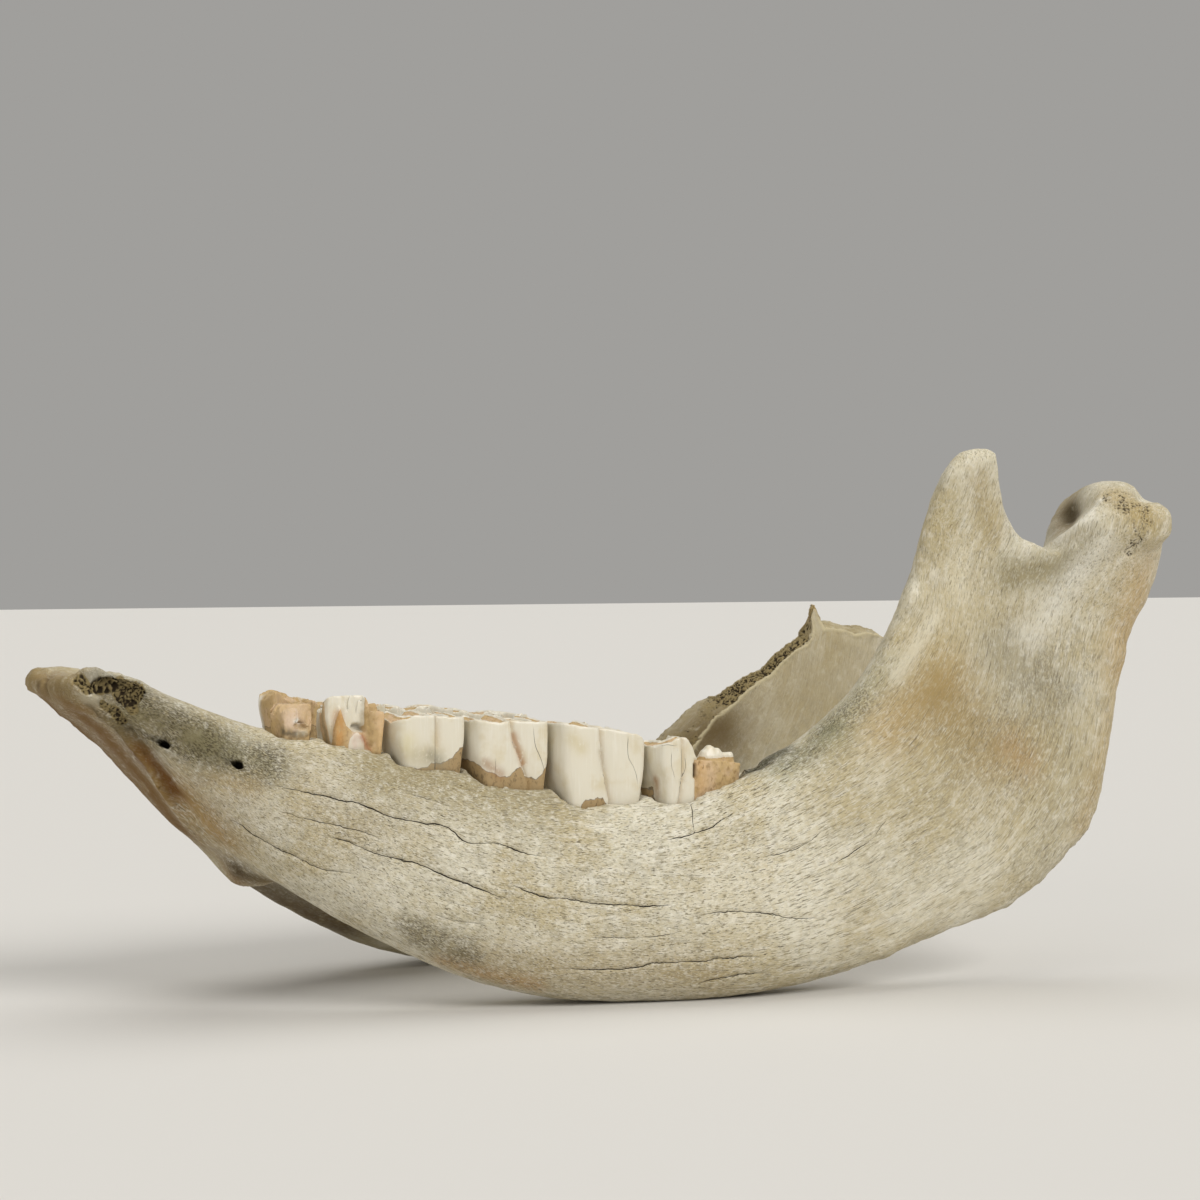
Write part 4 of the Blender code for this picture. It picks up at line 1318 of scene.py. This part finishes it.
@dataclass(frozen=True)
class CheekTooth:
    """One cheek tooth: two lobes of enamel round dentine, worn flat on top.

    Heights are z in millimetres, and shares run from 0 at its front to 1 at its rear. The rims
    are the worn top's outline on the cheek side and on the tongue side.
    """

    name: str
    front: float
    rear: float
    out: float
    width: float
    top: tuple[float, float]
    gum: float
    cheek_rim: Line
    tongue_rim: Line
    rim_step: tuple[float, float] = (-1.0, 1.0)     # shares across between which the rims blend
    groove: Line = ((90.0, 0.47), (140.0, 0.47))    # z and share of the fold between the lobes
    step: float = 1.5                               # how far the rear lobe lies behind the front one
    cement_line: Line = ((0.0, 80.0), (1.0, 80.0))  # share and z where the enamel ends
    cracks: tuple[Crack, ...] = ()
    chips: tuple[Chip, ...] = ()
    stains_and_painted_light: tuple[ColourPatch, ...] = ()
    side: Side = Side.LEFT
    cell: float = 0.75
    # strength of the painted shade in the gap in front of the tooth at the gum
    painted_shade: float = 0.75              # how dark the gap in front of it is at the gum
    basin: float = 2.2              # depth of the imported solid's worn top, which is filled first
    fill_from: float = 3.0          # height over the gum above which that top is filled
    worn_from: float = 4.0          # height over the gum above which a level face is worn
    stretch_from: float = 5.0       # height over the gum above which the walls stretch
    rounding: int = 3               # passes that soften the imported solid's facets
    fold_shade: str = "#a98a58"     # colour of the fold between the lobes
    stripped: float = 0.0           # how far the whole crown has lost its enamel
    mounds: Line = ()               # whole humps of the worn top: share along, share across, radius, z
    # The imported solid's outer wall: shares along the tooth and out from its middle
    wall: Line = ((0.0, 0.45), (0.02, 0.52), (0.08, 0.86), (0.25, 1.0), (0.43, 0.98), (0.50, 0.88),
                  (0.74, 1.0), (0.96, 0.96), (1.0, 0.84))
    # Middle lines of the worn dentine of the two lobes, as shares along and across
    lobes: tuple[Line, ...] = (
        ((0.10, -0.60), (0.08, 0.20), (0.20, 0.72), (0.38, 0.62), (0.40, -0.80)),
        ((0.56, 0.30), (0.64, 0.74), (0.80, 0.76), (0.91, 0.40), (0.88, -0.80)),
    )

    def build(self, finish: bpy.types.Material) -> bpy.types.Object:
        """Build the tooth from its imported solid.

        Args:
            finish: Material shared by the teeth.

        Returns:
            The finished piece.
        """
        skin = Skin(self.name, self.cell, self.rounding, self.gum + self.fill_from, self.basin)
        self._wear(skin)
        skin.refine(lambda points: np.zeros(len(points)), (1.0, 1.0), 1.6 * self.cell)
        fold = tuple((self.front + share * (self.rear - self.front), z) for z, share in self.groove)
        folds = (Crack(fold, 0.22, self.side, 0.2),) if fold else ()
        net = CrackNet(skin, self.cracks + folds)
        self._sculpt(skin, net)
        return skin.finish(f"{self.name}_crown", finish, "tooth")

    def _wear(self, skin: Skin) -> None:
        """Give the crown its worn top, with the walls stretched or shortened to reach it.

        Args:
            skin: The tooth's skin.
        """
        points, facing, sign = skin.points(), skin.facing(), self.side.value
        along = (points[:, 0] - self.front) / (self.rear - self.front)
        across = (sign * points[:, 1] - self.out) / (self.width / 2)
        rim, worn, bare = self._worn(points, along, across)
        wall, top = skin.wall(), []
        for x, y, _ in points:
            inner = Vector((min(max(x, self.front + 1.5), self.rear - 1.5),
                            y + math.copysign(1.5, sign * self.out - y), RAY_START))
            hit = wall.ray_cast(inner, Vector((0, 0, -1)))[0]
            top.append(self.top[0] if hit is None else hit.z)
        base = self.gum + self.stretch_from
        ratio = (rim - base) / np.maximum(np.array(top) - base, 2.0)
        above = points[:, 2] > base
        height = np.where(above, np.minimum(base + (points[:, 2] - base) * ratio, rim), points[:, 2])
        flatness = smooth_step(0.35, 0.75, facing[:, 2]) * (points[:, 2] > self.gum + self.worn_from)
        height += flatness * (rim - worn - height)
        skin.shape(np.column_stack((points[:, :2], height)))
        skin.mark(Mark.WORN_TOP, flatness)
        skin.mark(Mark.DENTINE, bare * flatness)

    def _sculpt(self, skin: Skin, net: CrackNet) -> None:
        """Shape the walls of the crown and store its marks.

        Args:
            skin: The tooth's skin.
            net: Its cracks.
        """
        points, facing = skin.points(), skin.facing()
        sign, length, half = self.side.value, self.rear - self.front, self.width / 2
        seed = self.front / 10 + sign
        along = (points[:, 0] - self.front) / length
        out = sign * points[:, 1] - self.out
        across = out / half
        offset, width = net.measure(points)

        fold = np.full(len(points), FAR)
        if self.groove:
            fold = (along - np.interp(points[:, 2], *zip(*self.groove))) * length
        behind = np.exp(-np.abs(fold) / 5.0) * smooth_step(-0.3, 0.3, fold)
        sunk = self.step * behind + 0.5 * np.exp(-(fold / 0.6) ** 2)
        dentine, cement, dark = np.zeros((3, len(points)))
        dentine += self.stripped
        line = np.interp(along, *zip(*self.cement_line)) + 1.1 * lumps(points, 4.0, seed) \
            + 0.7 * lumps(points, 1.8, seed)
        cement += smooth_step(1.2, -1.2, points[:, 2] - line)
        cheek = smooth_step(-0.3, 0.1, across)
        rough = np.zeros(len(points))
        flat = np.column_stack((along * length, points[:, 2]))
        for chip in self.chips:
            outline = tuple((share * length, z) for share, z in chip.outline)
            inside = cheek * smooth_step(-chip.edge, chip.edge, inside_outline(flat, outline))
            sunk += inside * (chip.sunk - sunk)
            rough += inside * (chip.rough - rough)
            # painted shade in the chip's recess
            dark += inside * (chip.dark - dark)
            if chip.dentine is not None:
                dentine += inside * (chip.dentine - dentine)
            if chip.cement is not None:
                cement += inside * (chip.cement - cement)

        wall = np.interp(along, *zip(*self.wall)) * half
        uneven = lumps(points, 3.0, seed) + 0.6 * lumps(points, 1.5, seed)
        carved = out * np.maximum(wall - sunk + rough * uneven, 0.15 * half) / wall
        out = np.where(across > 0, carved, out)
        low = smooth_step(14.0, 1.0, points[:, 2] - self.gum) * cheek
        narrow = 2.2 * low * smooth_step(0.22, 0.0, along) - 0.9 * low * smooth_step(0.85, 1.0, along)

        dentine = np.maximum(dentine, skin.read(Mark.DENTINE))
        # painted shade in the gap in front of the tooth, reaching higher near the gum
        reach = 0.5 + 2.0 * smooth_step(8.0, 0.0, points[:, 2] - self.gum)
        dark = np.maximum(dark, self.painted_shade * smooth_step(1.0, 0.1, along * length / reach))

        moved = np.column_stack((points[:, 0] + narrow, sign * (out + self.out), points[:, 2]))
        rise = 0.10 * lumps(points, 6.0, seed) + 0.05 * lumps(points / np.array((1.0, 1.0, 6.0)), 1.6, seed)
        skin.shape(moved + facing * rise[:, None])
        skin.mark(Mark.DENTINE, dentine)
        skin.mark(Mark.CEMENT, cement * (1 - skin.read(Mark.WORN_TOP)))
        skin.mark(Mark.PAINTED_HOLLOW_SHADE, dark)
        skin.mark(Mark.CRACK_OFFSET, offset)
        skin.mark(Mark.CRACK_WIDTH, width)
        shade = 0.45 * behind * smooth_step(4.0, 0.0, np.abs(fold)) * cheek
        tint = blend(points, self.stains_and_painted_light)
        deeper = (shade > tint[:, 3])[:, None]
        tint[:, :3] = np.where(deeper, np.array(linear(self.fold_shade)[:3]), tint[:, :3])
        tint[:, 3] = np.maximum(tint[:, 3], shade)
        skin.mark(Mark.TINT, tint)

    def _worn(self, points: np.ndarray, along: np.ndarray, across: np.ndarray
              ) -> tuple[np.ndarray, np.ndarray, np.ndarray]:
        """Work out the worn top.

        Args:
            points: Places of the vertices.
            along: Share along the tooth.
            across: Share across it, from -1, tongue, to 1, cheek.

        Returns:
            Height of the enamel's rim, how far the surface lies under it, and how far it is dentine.
        """
        length, half = self.rear - self.front, self.width / 2
        flat = np.column_stack((along * length, across * half))
        nearest = np.min([from_path(flat, tuple((x * length, y * half) for x, y in lobe))
                          for lobe in self.lobes], axis=0)
        dentine = smooth_step(2.4, 1.7, nearest)
        valley = smooth_step(3.6, 5.4, nearest) * smooth_step(0.75, 0.35, across)
        rims = [np.interp(along, *zip(*rim)) for rim in (self.tongue_rim, self.cheek_rim)]
        share = smooth_step(*self.rim_step, across)
        rim = rims[0] + (rims[1] - rims[0]) * share + 0.35 * lumps(points, 2.6, self.front)
        worn, bare = 1.0 * dentine + 3.6 * valley, np.maximum(dentine, 0.8 * valley)
        for x, y, radius, z in self.mounds:
            gap = np.hypot(flat[:, 0] - x * length, flat[:, 1] - y * half)
            whole = smooth_step(radius, 0.3 * radius, gap)
            rim += whole * (z - rim)
            worn, bare = worn * (1 - whole), bare * (1 - whole)
        return rim, worn, bare


@dataclass(frozen=True)
class ToothRows:
    """The eleven cheek teeth that are left."""

    right_shift: float = 5.0    # the right row stands this much further back
    bared: float = 0.62         # how far a broken tooth has lost its enamel
    # Rims of a whole right tooth: share along it, and height over the line from front to rear
    cheek_waves: Line = ((0.0, -1.6), (0.1, 0.2), (0.3, 0.6), (0.42, -0.4), (0.48, -2.4), (0.56, -0.2),
                         (0.72, 0.5), (0.92, 0.0), (1.0, -1.6))
    tongue_waves: Line = ((0.0, -0.8), (0.15, 0.8), (0.28, -2.8), (0.42, 1.0), (0.58, 0.8), (0.72, -3.2),
                          (0.86, 0.9), (1.0, -0.6))
    # Rims of the broken right p3: share along it and z
    broken_cheek: Line = ((0.0, 131.0), (0.04, 134.2), (0.10, 136.8), (0.2, 138.3), (0.34, 138.5),
                          (0.5, 137.0), (0.7, 135.4), (1.0, 132.6))
    broken_tongue: Line = ((0.0, 133.0), (0.03, 136.0), (0.08, 137.8), (0.18, 138.4), (0.26, 137.4),
                           (0.33, 135.4), (0.42, 133.9), (0.67, 133.5), (0.76, 133.1), (0.82, 134.4),
                           (0.88, 132.8), (1.0, 132.4))
    broken_stains: tuple[ColourPatch, ...] = (
        ColourPatch((-120.5, 47, 120), (-120.5, 47, 137), 2.6, "#e9e4d6", 0.95),
        ColourPatch((-112, 32, 124), (-114, 32, 134), 4.0, "#cdb192", 0.75),
        ColourPatch((-118, 32, 122), (-118, 32, 128), 2.5, "#8e7a4c", 0.80),
    )

    def left_row(self) -> tuple[CheekTooth, ...]:
        """List the left teeth with their wear and damage.

        Returns:
            The teeth, front to rear.
        """
        return (
            CheekTooth(
                "left_p2", -147, -128, 39, 17, (138, 138), 125,
                ((0.0, 127.5), (0.07, 130.8), (0.15, 134.4), (0.39, 135.8), (0.60, 134.8), (0.745, 131.8),
                 (0.90, 131.0), (1.0, 129.5)),
                ((0.0, 132.5), (0.1, 134.5), (0.2, 136.8), (0.35, 138.0), (0.5, 137.4), (0.72, 137.6),
                 (0.80, 139.4), (0.88, 138.0), (1.0, 134.0)), (0.30, 0.60),
                groove=(),
                chips=(
                    Chip(((-0.2, 112), (1.2, 112), (1.2, 142), (-0.2, 142)), 2.2, 0.62, 0.0, 0.0, 0.9),
                    Chip(((0.06, 124), (0.07, 130), (0.13, 132.8), (0.26, 134.8), (0.42, 135.4),
                          (0.58, 134.8), (0.70, 132.8), (0.76, 130),
                          (0.77, 124)), 0.7, 0.62, 0.0, 0.0, 0.4, 2.0),
                    Chip(((0.43, 126.8), (0.41, 128.2), (0.45, 129.2), (0.58, 129.3), (0.66, 128.4),
                          (0.74, 126.6), (0.60, 126.2)), 3.4, 0.8, 0.0, 0.25, edge=0.7),
                    Chip(((0.41, 129.2), (0.43, 130.3), (0.60, 130.2), (0.62, 129.3)), 0.2, 0.0, 0.0,
                         edge=0.5),
                    Chip(((0.05, 121), (0.08, 126.2), (0.28, 126.6), (0.47, 125.9), (0.55, 121)),
                         0.4, 0.8, 0.0, 0.0, 0.9),
                    Chip(((0.84, 121), (0.84, 124.8), (0.93, 126.2), (1.1, 126), (1.1, 121)),
                         3.0, 0.8, 0.0, 0.75),
                ),
                stains_and_painted_light=(ColourPatch((-146, -46, 136), (-132, -46, 136), 5, "#c4a980", 0.70),
                        ColourPatch((-141, -47, 130), (-138, -47, 132), 5, "#d3bba3", 0.85),
                        ColourPatch((-145.7, -45, 125.6), (-138.2, -46.4, 124.2), 1.8, "#5c5340", 0.95),
                        ColourPatch((-137, -46, 124.5), (-134, -46, 124.5), 1.5, "#c9c3b0", 0.8),
                        ColourPatch((-138, -44, 127.8), (-134.5, -44, 127.6), 1.7, "#574526", 0.95),
                        ColourPatch((-138.8, -46.6, 130), (-136.4, -46.6, 130), 1.2, "#f0ede4", 0.97)),
                stripped=0.62, painted_shade=0.0, cell=0.6,
                wall=((0.0, 0.35), (0.12, 0.85), (0.38, 1.0), (0.66, 0.95), (0.90, 0.80), (1.0, 0.35)),
                lobes=(((0.2, 0.0), (0.8, 0.0)),),
            ),
            CheekTooth(
                "left_p3", -126, -98, 42, 21, (140.5, 139), 118,
                ((0.0, 138.5), (0.06, 139.6), (0.16, 140.4), (0.66, 140.4), (0.70, 137.8), (0.72, 133.4),
                 (0.84, 133.6), (1.0, 132.6)),
                ((0.0, 133.0), (0.2, 135.2), (0.34, 133.0), (0.40, 132.0), (0.62, 132.0), (0.70, 136.4),
                 (0.76, 137.2), (0.80, 134.6), (0.86, 136.2), (0.94, 136.4), (1.0, 134.4)), (0.25, 0.45),
                groove=(),
                chips=(
                    Chip(((-0.2, 106), (1.2, 106), (1.2, 143), (-0.2, 143)), 4.2, 0.0, 0.0),
                    Chip(((-0.2, 108), (-0.2, 143), (0.04, 143), (0.08, 108)), 4.0, 0.8, 0.0, 0.15, 0.4),
                    Chip(((0.07, 110), (0.08, 120), (0.12, 125), (0.17, 130), (0.24, 135.4), (0.28, 131.5),
                          (0.34, 127.5), (0.44, 125.0), (0.66, 124.0), (0.70, 110)),
                         0.9, 0.9, 0.0, 0.0, 0.25),
                    Chip(((0.45, 126.6), (0.47, 127.8), (0.56, 128.2), (0.66, 127.0), (0.71, 125.0),
                          (0.68, 124.4), (0.56, 125.2)), 6.5, 0.4, 0.0, 0.45, edge=0.6),
                    Chip(((0.35, 110), (0.35, 119), (0.38, 122), (0.44, 124.0), (0.52, 124.4), (0.59, 123.2),
                          (0.64, 120), (0.66, 116), (0.66, 110)), 0.6, 0.25, 0.0, 0.0, 0.25),
                    Chip(((0.645, 108), (0.64, 124), (0.63, 132.6), (0.67, 142), (1.2, 142), (1.2, 108)),
                         1.2, 0.75, 0.0, 0.0, 0.6),
                    Chip(((0.86, 108), (0.84, 120), (0.86, 134), (1.06, 134), (1.06, 108)),
                         0.2, 0.66, 0.0, 0.0, 0.3),
                ),
                painted_shade=0.0,
                # painted shade on the tooth's front face
                stains_and_painted_light=(ColourPatch((-125.5, -46, 120), (-125.5, -46, 136), 2.2, "#9b8a66", 0.80),
                        ColourPatch((-105.2, -44, 134), (-105.2, -44, 138), 1.3, "#e4dfd0", 0.95),
                        ColourPatch((-120.5, -51, 119), (-119.5, -51, 132), 2.4, "#bb8848", 0.85),
                        ColourPatch((-113, -51, 119), (-113, -51, 122.5), 2.4, "#d9c6b4", 0.95),
                        ColourPatch((-109.5, -51, 122.5), (-106, -51, 117), 1.4, "#a2603a", 0.85),
                        ColourPatch((-106.5, -51, 132), (-105, -51, 120), 2.2, "#94794a", 0.85),
                        ColourPatch((-100.5, -51, 131), (-100.5, -51, 119), 2.4, "#cfae7e", 0.85)),
                lobes=(((0.3, -0.3), (0.9, -0.3)),),
            ),
            CheekTooth(
                "left_p4", -97, -63, 48, 25, (132, 131), 110,
                ((0.0, 127.0), (0.08, 129.2), (0.24, 131.6), (0.5, 131.4), (1.0, 130.0)),
                ((0.0, 131.0), (0.15, 132.6), (0.28, 129.6), (0.42, 132.8), (0.60, 132.6), (0.72, 129.0),
                 (0.86, 132.2), (1.0, 131.0)),
                groove=((90.0, 0.57), (140.0, 0.555)), step=0.9,
                cement_line=((0.0, 108.0), (0.45, 108.0), (0.50, 110.0), (0.62, 109.6), (0.75, 111.5),
                             (0.9, 115.8), (1.0, 116.5)),
                stains_and_painted_light=(ColourPatch((-88, -61, 114), (-78, -62, 112), 5, "#b3a888", 0.7),
                        ColourPatch((-80, -61, 114), (-77, -61, 111), 3, "#5f5a4a", 0.6),
                        ColourPatch((-92, -60, 121), (-93, -60, 118), 4, "#cfc392", 0.5)),
            ),
            CheekTooth(
                "left_m1", -62, -25, 54, 27, (129, 128), 100,
                ((0.0, 129.4), (0.10, 128.6), (0.33, 127.6), (0.45, 128.4), (0.75, 127.8), (1.0, 127.3)),
                ((0.0, 128.0), (0.15, 130.0), (0.28, 127.0), (0.42, 130.2), (0.60, 130.0), (0.72, 126.6),
                 (0.86, 129.6), (1.0, 128.4)),
                groove=((100.0, 0.70), (104.0, 0.66), (111.0, 0.60), (118.0, 0.51), (128.0, 0.46)), step=1.9,
                cement_line=((0.0, 112.0), (0.10, 107.5), (0.25, 104.5), (0.4, 103.5), (0.52, 105.0),
                             (0.60, 108.8), (0.66, 103.0), (0.80, 101.5), (0.92, 105.5), (1.0, 110.0)),
                cracks=(Crack(((-34, 127), (-33, 118), (-30.5, 112), (-28, 106), (-27, 103)), 0.22),
                        Crack(((-52.5, 112), (-52.5, 105)), 0.15)),
                stains_and_painted_light=(ColourPatch((-43, -67, 122), (-38.5, -67, 109), 1.8, "#a3733c", 0.85),
                        ColourPatch((-57, -66, 110), (-50, -67, 105), 2.5, "#93683f", 0.6)),
            ),
            CheekTooth(
                "left_m2", -24, 19, 62, 28, (126, 123), 92,
                ((0.0, 127.2), (0.2, 125.8), (0.45, 124.3), (0.7, 122.8), (0.88, 121.2), (0.96, 119.6),
                 (1.0, 117.5)),
                ((0.0, 126.0), (0.15, 127.4), (0.28, 124.0), (0.42, 126.6), (0.60, 125.6), (0.72, 122.0),
                 (0.86, 123.6), (1.0, 120.0)),
                groove=((92.0, 0.57), (98.0, 0.535), (108.0, 0.49), (124.0, 0.445)), step=1.9,
                cement_line=((0.0, 86.0), (0.22, 88.0), (0.28, 92.6), (0.50, 92.8), (0.56, 87.0),
                             (1.0, 87.0)),
                cracks=(Crack(((9.5, 121), (9.5, 112), (13, 105), (15, 98)), 0.22),),
                stains_and_painted_light=(ColourPatch((-4, -76, 114), (-2, -76, 106), 1.6, "#8a7349", 0.7),
                        ColourPatch((-18, -74, 120), (-14, -75, 116), 3.5, "#c9bb93", 0.6)),
            ),
            CheekTooth(
                "left_m3", 20, 65, 72, 27, (119, 115), 97,
                ((0.0, 115.2), (0.08, 116.6), (0.16, 117.6), (0.22, 119.2), (0.28, 120.2), (0.33, 119.2),
                 (0.38, 116.0), (0.42, 111.5), (0.46, 109.0), (0.75, 108.2), (1.0, 106.5)),
                ((0.0, 116.0), (0.2, 117.5), (0.36, 115.0), (0.46, 109.0), (0.70, 108.5), (1.0, 106.0)),
                (-0.45, -0.25),
                mounds=((0.66, 0.22, 4.6, 112.8), (0.73, 0.22, 4.6, 115.0), (0.80, 0.22, 4.6, 113.6),
                        (0.88, 0.22, 4.2, 111.4), (0.95, 0.22, 3.2, 111.5)),
                groove=((90.0, 0.24), (104.0, 0.27), (118.0, 0.26)), step=1.0,
                cement_line=((0.0, 99.5), (0.04, 96.0), (0.07, 88.0), (1.0, 88.0)),
                cracks=(Crack(((27, 114), (27, 107), (29, 100)), 0.16),
                        Crack(((33.5, 112), (34, 106), (31.5, 99)), 0.15),
                        Crack(((23, 116), (25.5, 116.3), (29, 116)), 0.15)),
                chips=(
                    Chip(((0.43, 88), (0.42, 104), (0.41, 109.4), (1.2, 109.4), (1.2, 88)),
                         1.4, 0.80, 0.0, 0.0, 0.5),
                    Chip(((0.41, 101.5), (0.41, 107.5), (0.45, 107), (0.45, 101)), 4.5, 0.6, 0.0, 0.9),
                    Chip(((0.49, 88), (0.47, 98), (0.50, 105), (0.56, 107), (0.60, 100), (0.60, 88)),
                         0.2, 0.75, 0.0, 0.0, 0.5),
                ),
                stains_and_painted_light=(ColourPatch((43, -85, 96), (43, -85, 108), 2.5, "#c09a62", 0.6),
                        ColourPatch((20.5, -76, 100), (20.5, -76, 93), 2.4, "#9a6a34", 0.9)),
            ),
        )

    def right_row(self) -> tuple[CheekTooth, ...]:
        """List the right teeth, whose first one is missing.

        Returns:
            The teeth, front to rear.
        """
        row = []
        for tooth in self.left_row()[1:]:
            front, rear = tooth.top
            broken = tooth.name.endswith("p3")
            rims = (self.broken_cheek, self.broken_tongue) if broken else [
                tuple((share, front + (rear - front) * share + rise) for share, rise in table)
                for table in (self.cheek_waves, self.tongue_waves)]
            row.append(CheekTooth(
                tooth.name.replace("left", "right"), tooth.front + self.right_shift,
                tooth.rear + self.right_shift, tooth.out, tooth.width, tooth.top, tooth.gum, *rims,
                cement_line=((0.0, tooth.gum + 4), (0.4, tooth.gum + 2), (0.5, tooth.gum + 6),
                             (1.0, tooth.gum + 3)),
                stains_and_painted_light=self.broken_stains * broken, side=Side.RIGHT, cell=1.0,
                stripped=self.bared * broken, painted_shade=0.0 if broken else CheekTooth.painted_shade,
            ))
        return tuple(row)

    def build(self) -> list[bpy.types.Object]:
        """Build every tooth.

        Returns:
            The finished pieces.
        """
        finish = ToothTissue().build()
        return [tooth.build(finish) for tooth in self.left_row() + self.right_row()]


@dataclass(frozen=True)
class SoftLamp:
    """A wide soft lamp: where it shines from, how wide it looks in degrees, and its strength."""

    name: str
    place: Point
    spread: float
    strength: float


@dataclass(frozen=True)
class Studio:
    """Pale floor, soft lamps, and the camera at the photograph's viewing angle."""

    floor_colour: str = "#d3d0ca"
    floor_half: float = 8.0         # metres
    floor_roughness: float = 0.9
    sky_colour: str = "#e5e3df"
    sky_strength: float = 0.45
    camera_place: Point = (-579.8, -1156.9, 204.1)
    camera_turn: float = -28.0      # degrees about Z
    lens: float = 82.19             # millimetres
    sensor: float = 36.0            # millimetres
    shift_y: float = -50 / 1200     # the horizon is 50 px above the middle of a 1200 px frame
    aim: Point = (10.0, 0.0, 90.0)
    lamps: tuple[SoftLamp, ...] = (
        SoftLamp("key lamp", (450.0, -1500.0, 1250.0), 30.0, 1.9),
        SoftLamp("fill lamp", (-1400.0, -700.0, 700.0), 50.0, 0.65),
        SoftLamp("top lamp", (100.0, 300.0, 1700.0), 50.0, 1.05),
    )

    def build(self) -> None:
        """Build the floor, the light and the camera."""
        self._floor()
        self._light()
        self._camera()

    def _floor(self) -> None:
        """Lay a wide matt floor at the jaw's lowest point."""
        bm = bmesh.new()
        bmesh.ops.create_grid(bm, x_segments=1, y_segments=1, size=self.floor_half)
        mesh = bpy.data.meshes.new("floor")
        bm.to_mesh(mesh)
        bm.free()
        paint = bpy.data.materials.new("matt floor paint")
        paint.use_nodes = True
        shader = paint.node_tree.nodes["Principled BSDF"]
        shader.inputs["Base Color"].default_value = linear(self.floor_colour)
        shader.inputs["Roughness"].default_value = self.floor_roughness
        mesh.materials.append(paint)
        floor = bpy.data.objects.new("floor", mesh)
        bpy.context.scene.collection.objects.link(floor)

    def _light(self) -> None:
        """Light the jaw with an even sky and soft lamps."""
        world = bpy.data.worlds.new("studio air")
        world.use_nodes = True
        sky = world.node_tree.nodes["Background"]
        sky.inputs["Color"].default_value = linear(self.sky_colour)
        sky.inputs["Strength"].default_value = self.sky_strength
        bpy.context.scene.world = world
        for lamp in self.lamps:
            data = bpy.data.lights.new(lamp.name, "SUN")
            data.angle = math.radians(lamp.spread)
            data.energy = lamp.strength
            thing = bpy.data.objects.new(lamp.name, data)
            thing.location = SPACE.to_frame(lamp.place)
            aim = Vector(SPACE.to_frame(self.aim)) - thing.location
            thing.rotation_euler = aim.to_track_quat("-Z", "Y").to_euler()
            bpy.context.scene.collection.objects.link(thing)

    def _camera(self) -> None:
        """Set the camera that matches the photograph's framing."""
        data = bpy.data.cameras.new("camera")
        data.lens = self.lens
        data.sensor_width = self.sensor
        data.shift_y = self.shift_y
        thing = bpy.data.objects.new("camera", data)
        thing.location = SPACE.to_frame(self.camera_place)
        thing.rotation_euler = (math.pi / 2, 0.0, math.radians(self.camera_turn))
        bpy.context.scene.collection.objects.link(thing)
        bpy.context.scene.camera = thing


def main() -> None:
    """Build the jaw in order and report each piece."""
    logging.basicConfig(level=logging.INFO, format="%(message)s", stream=sys.stdout)
    bpy.context.scene.view_settings.view_transform = "Standard"
    Studio().build()
    LOG.info("the studio is set")
    pieces = [Mandible().build(), *ToothRows().build()]
    LOG.info("%d pieces stand on the floor", len(pieces))


if __name__ == "__main__":
    main()
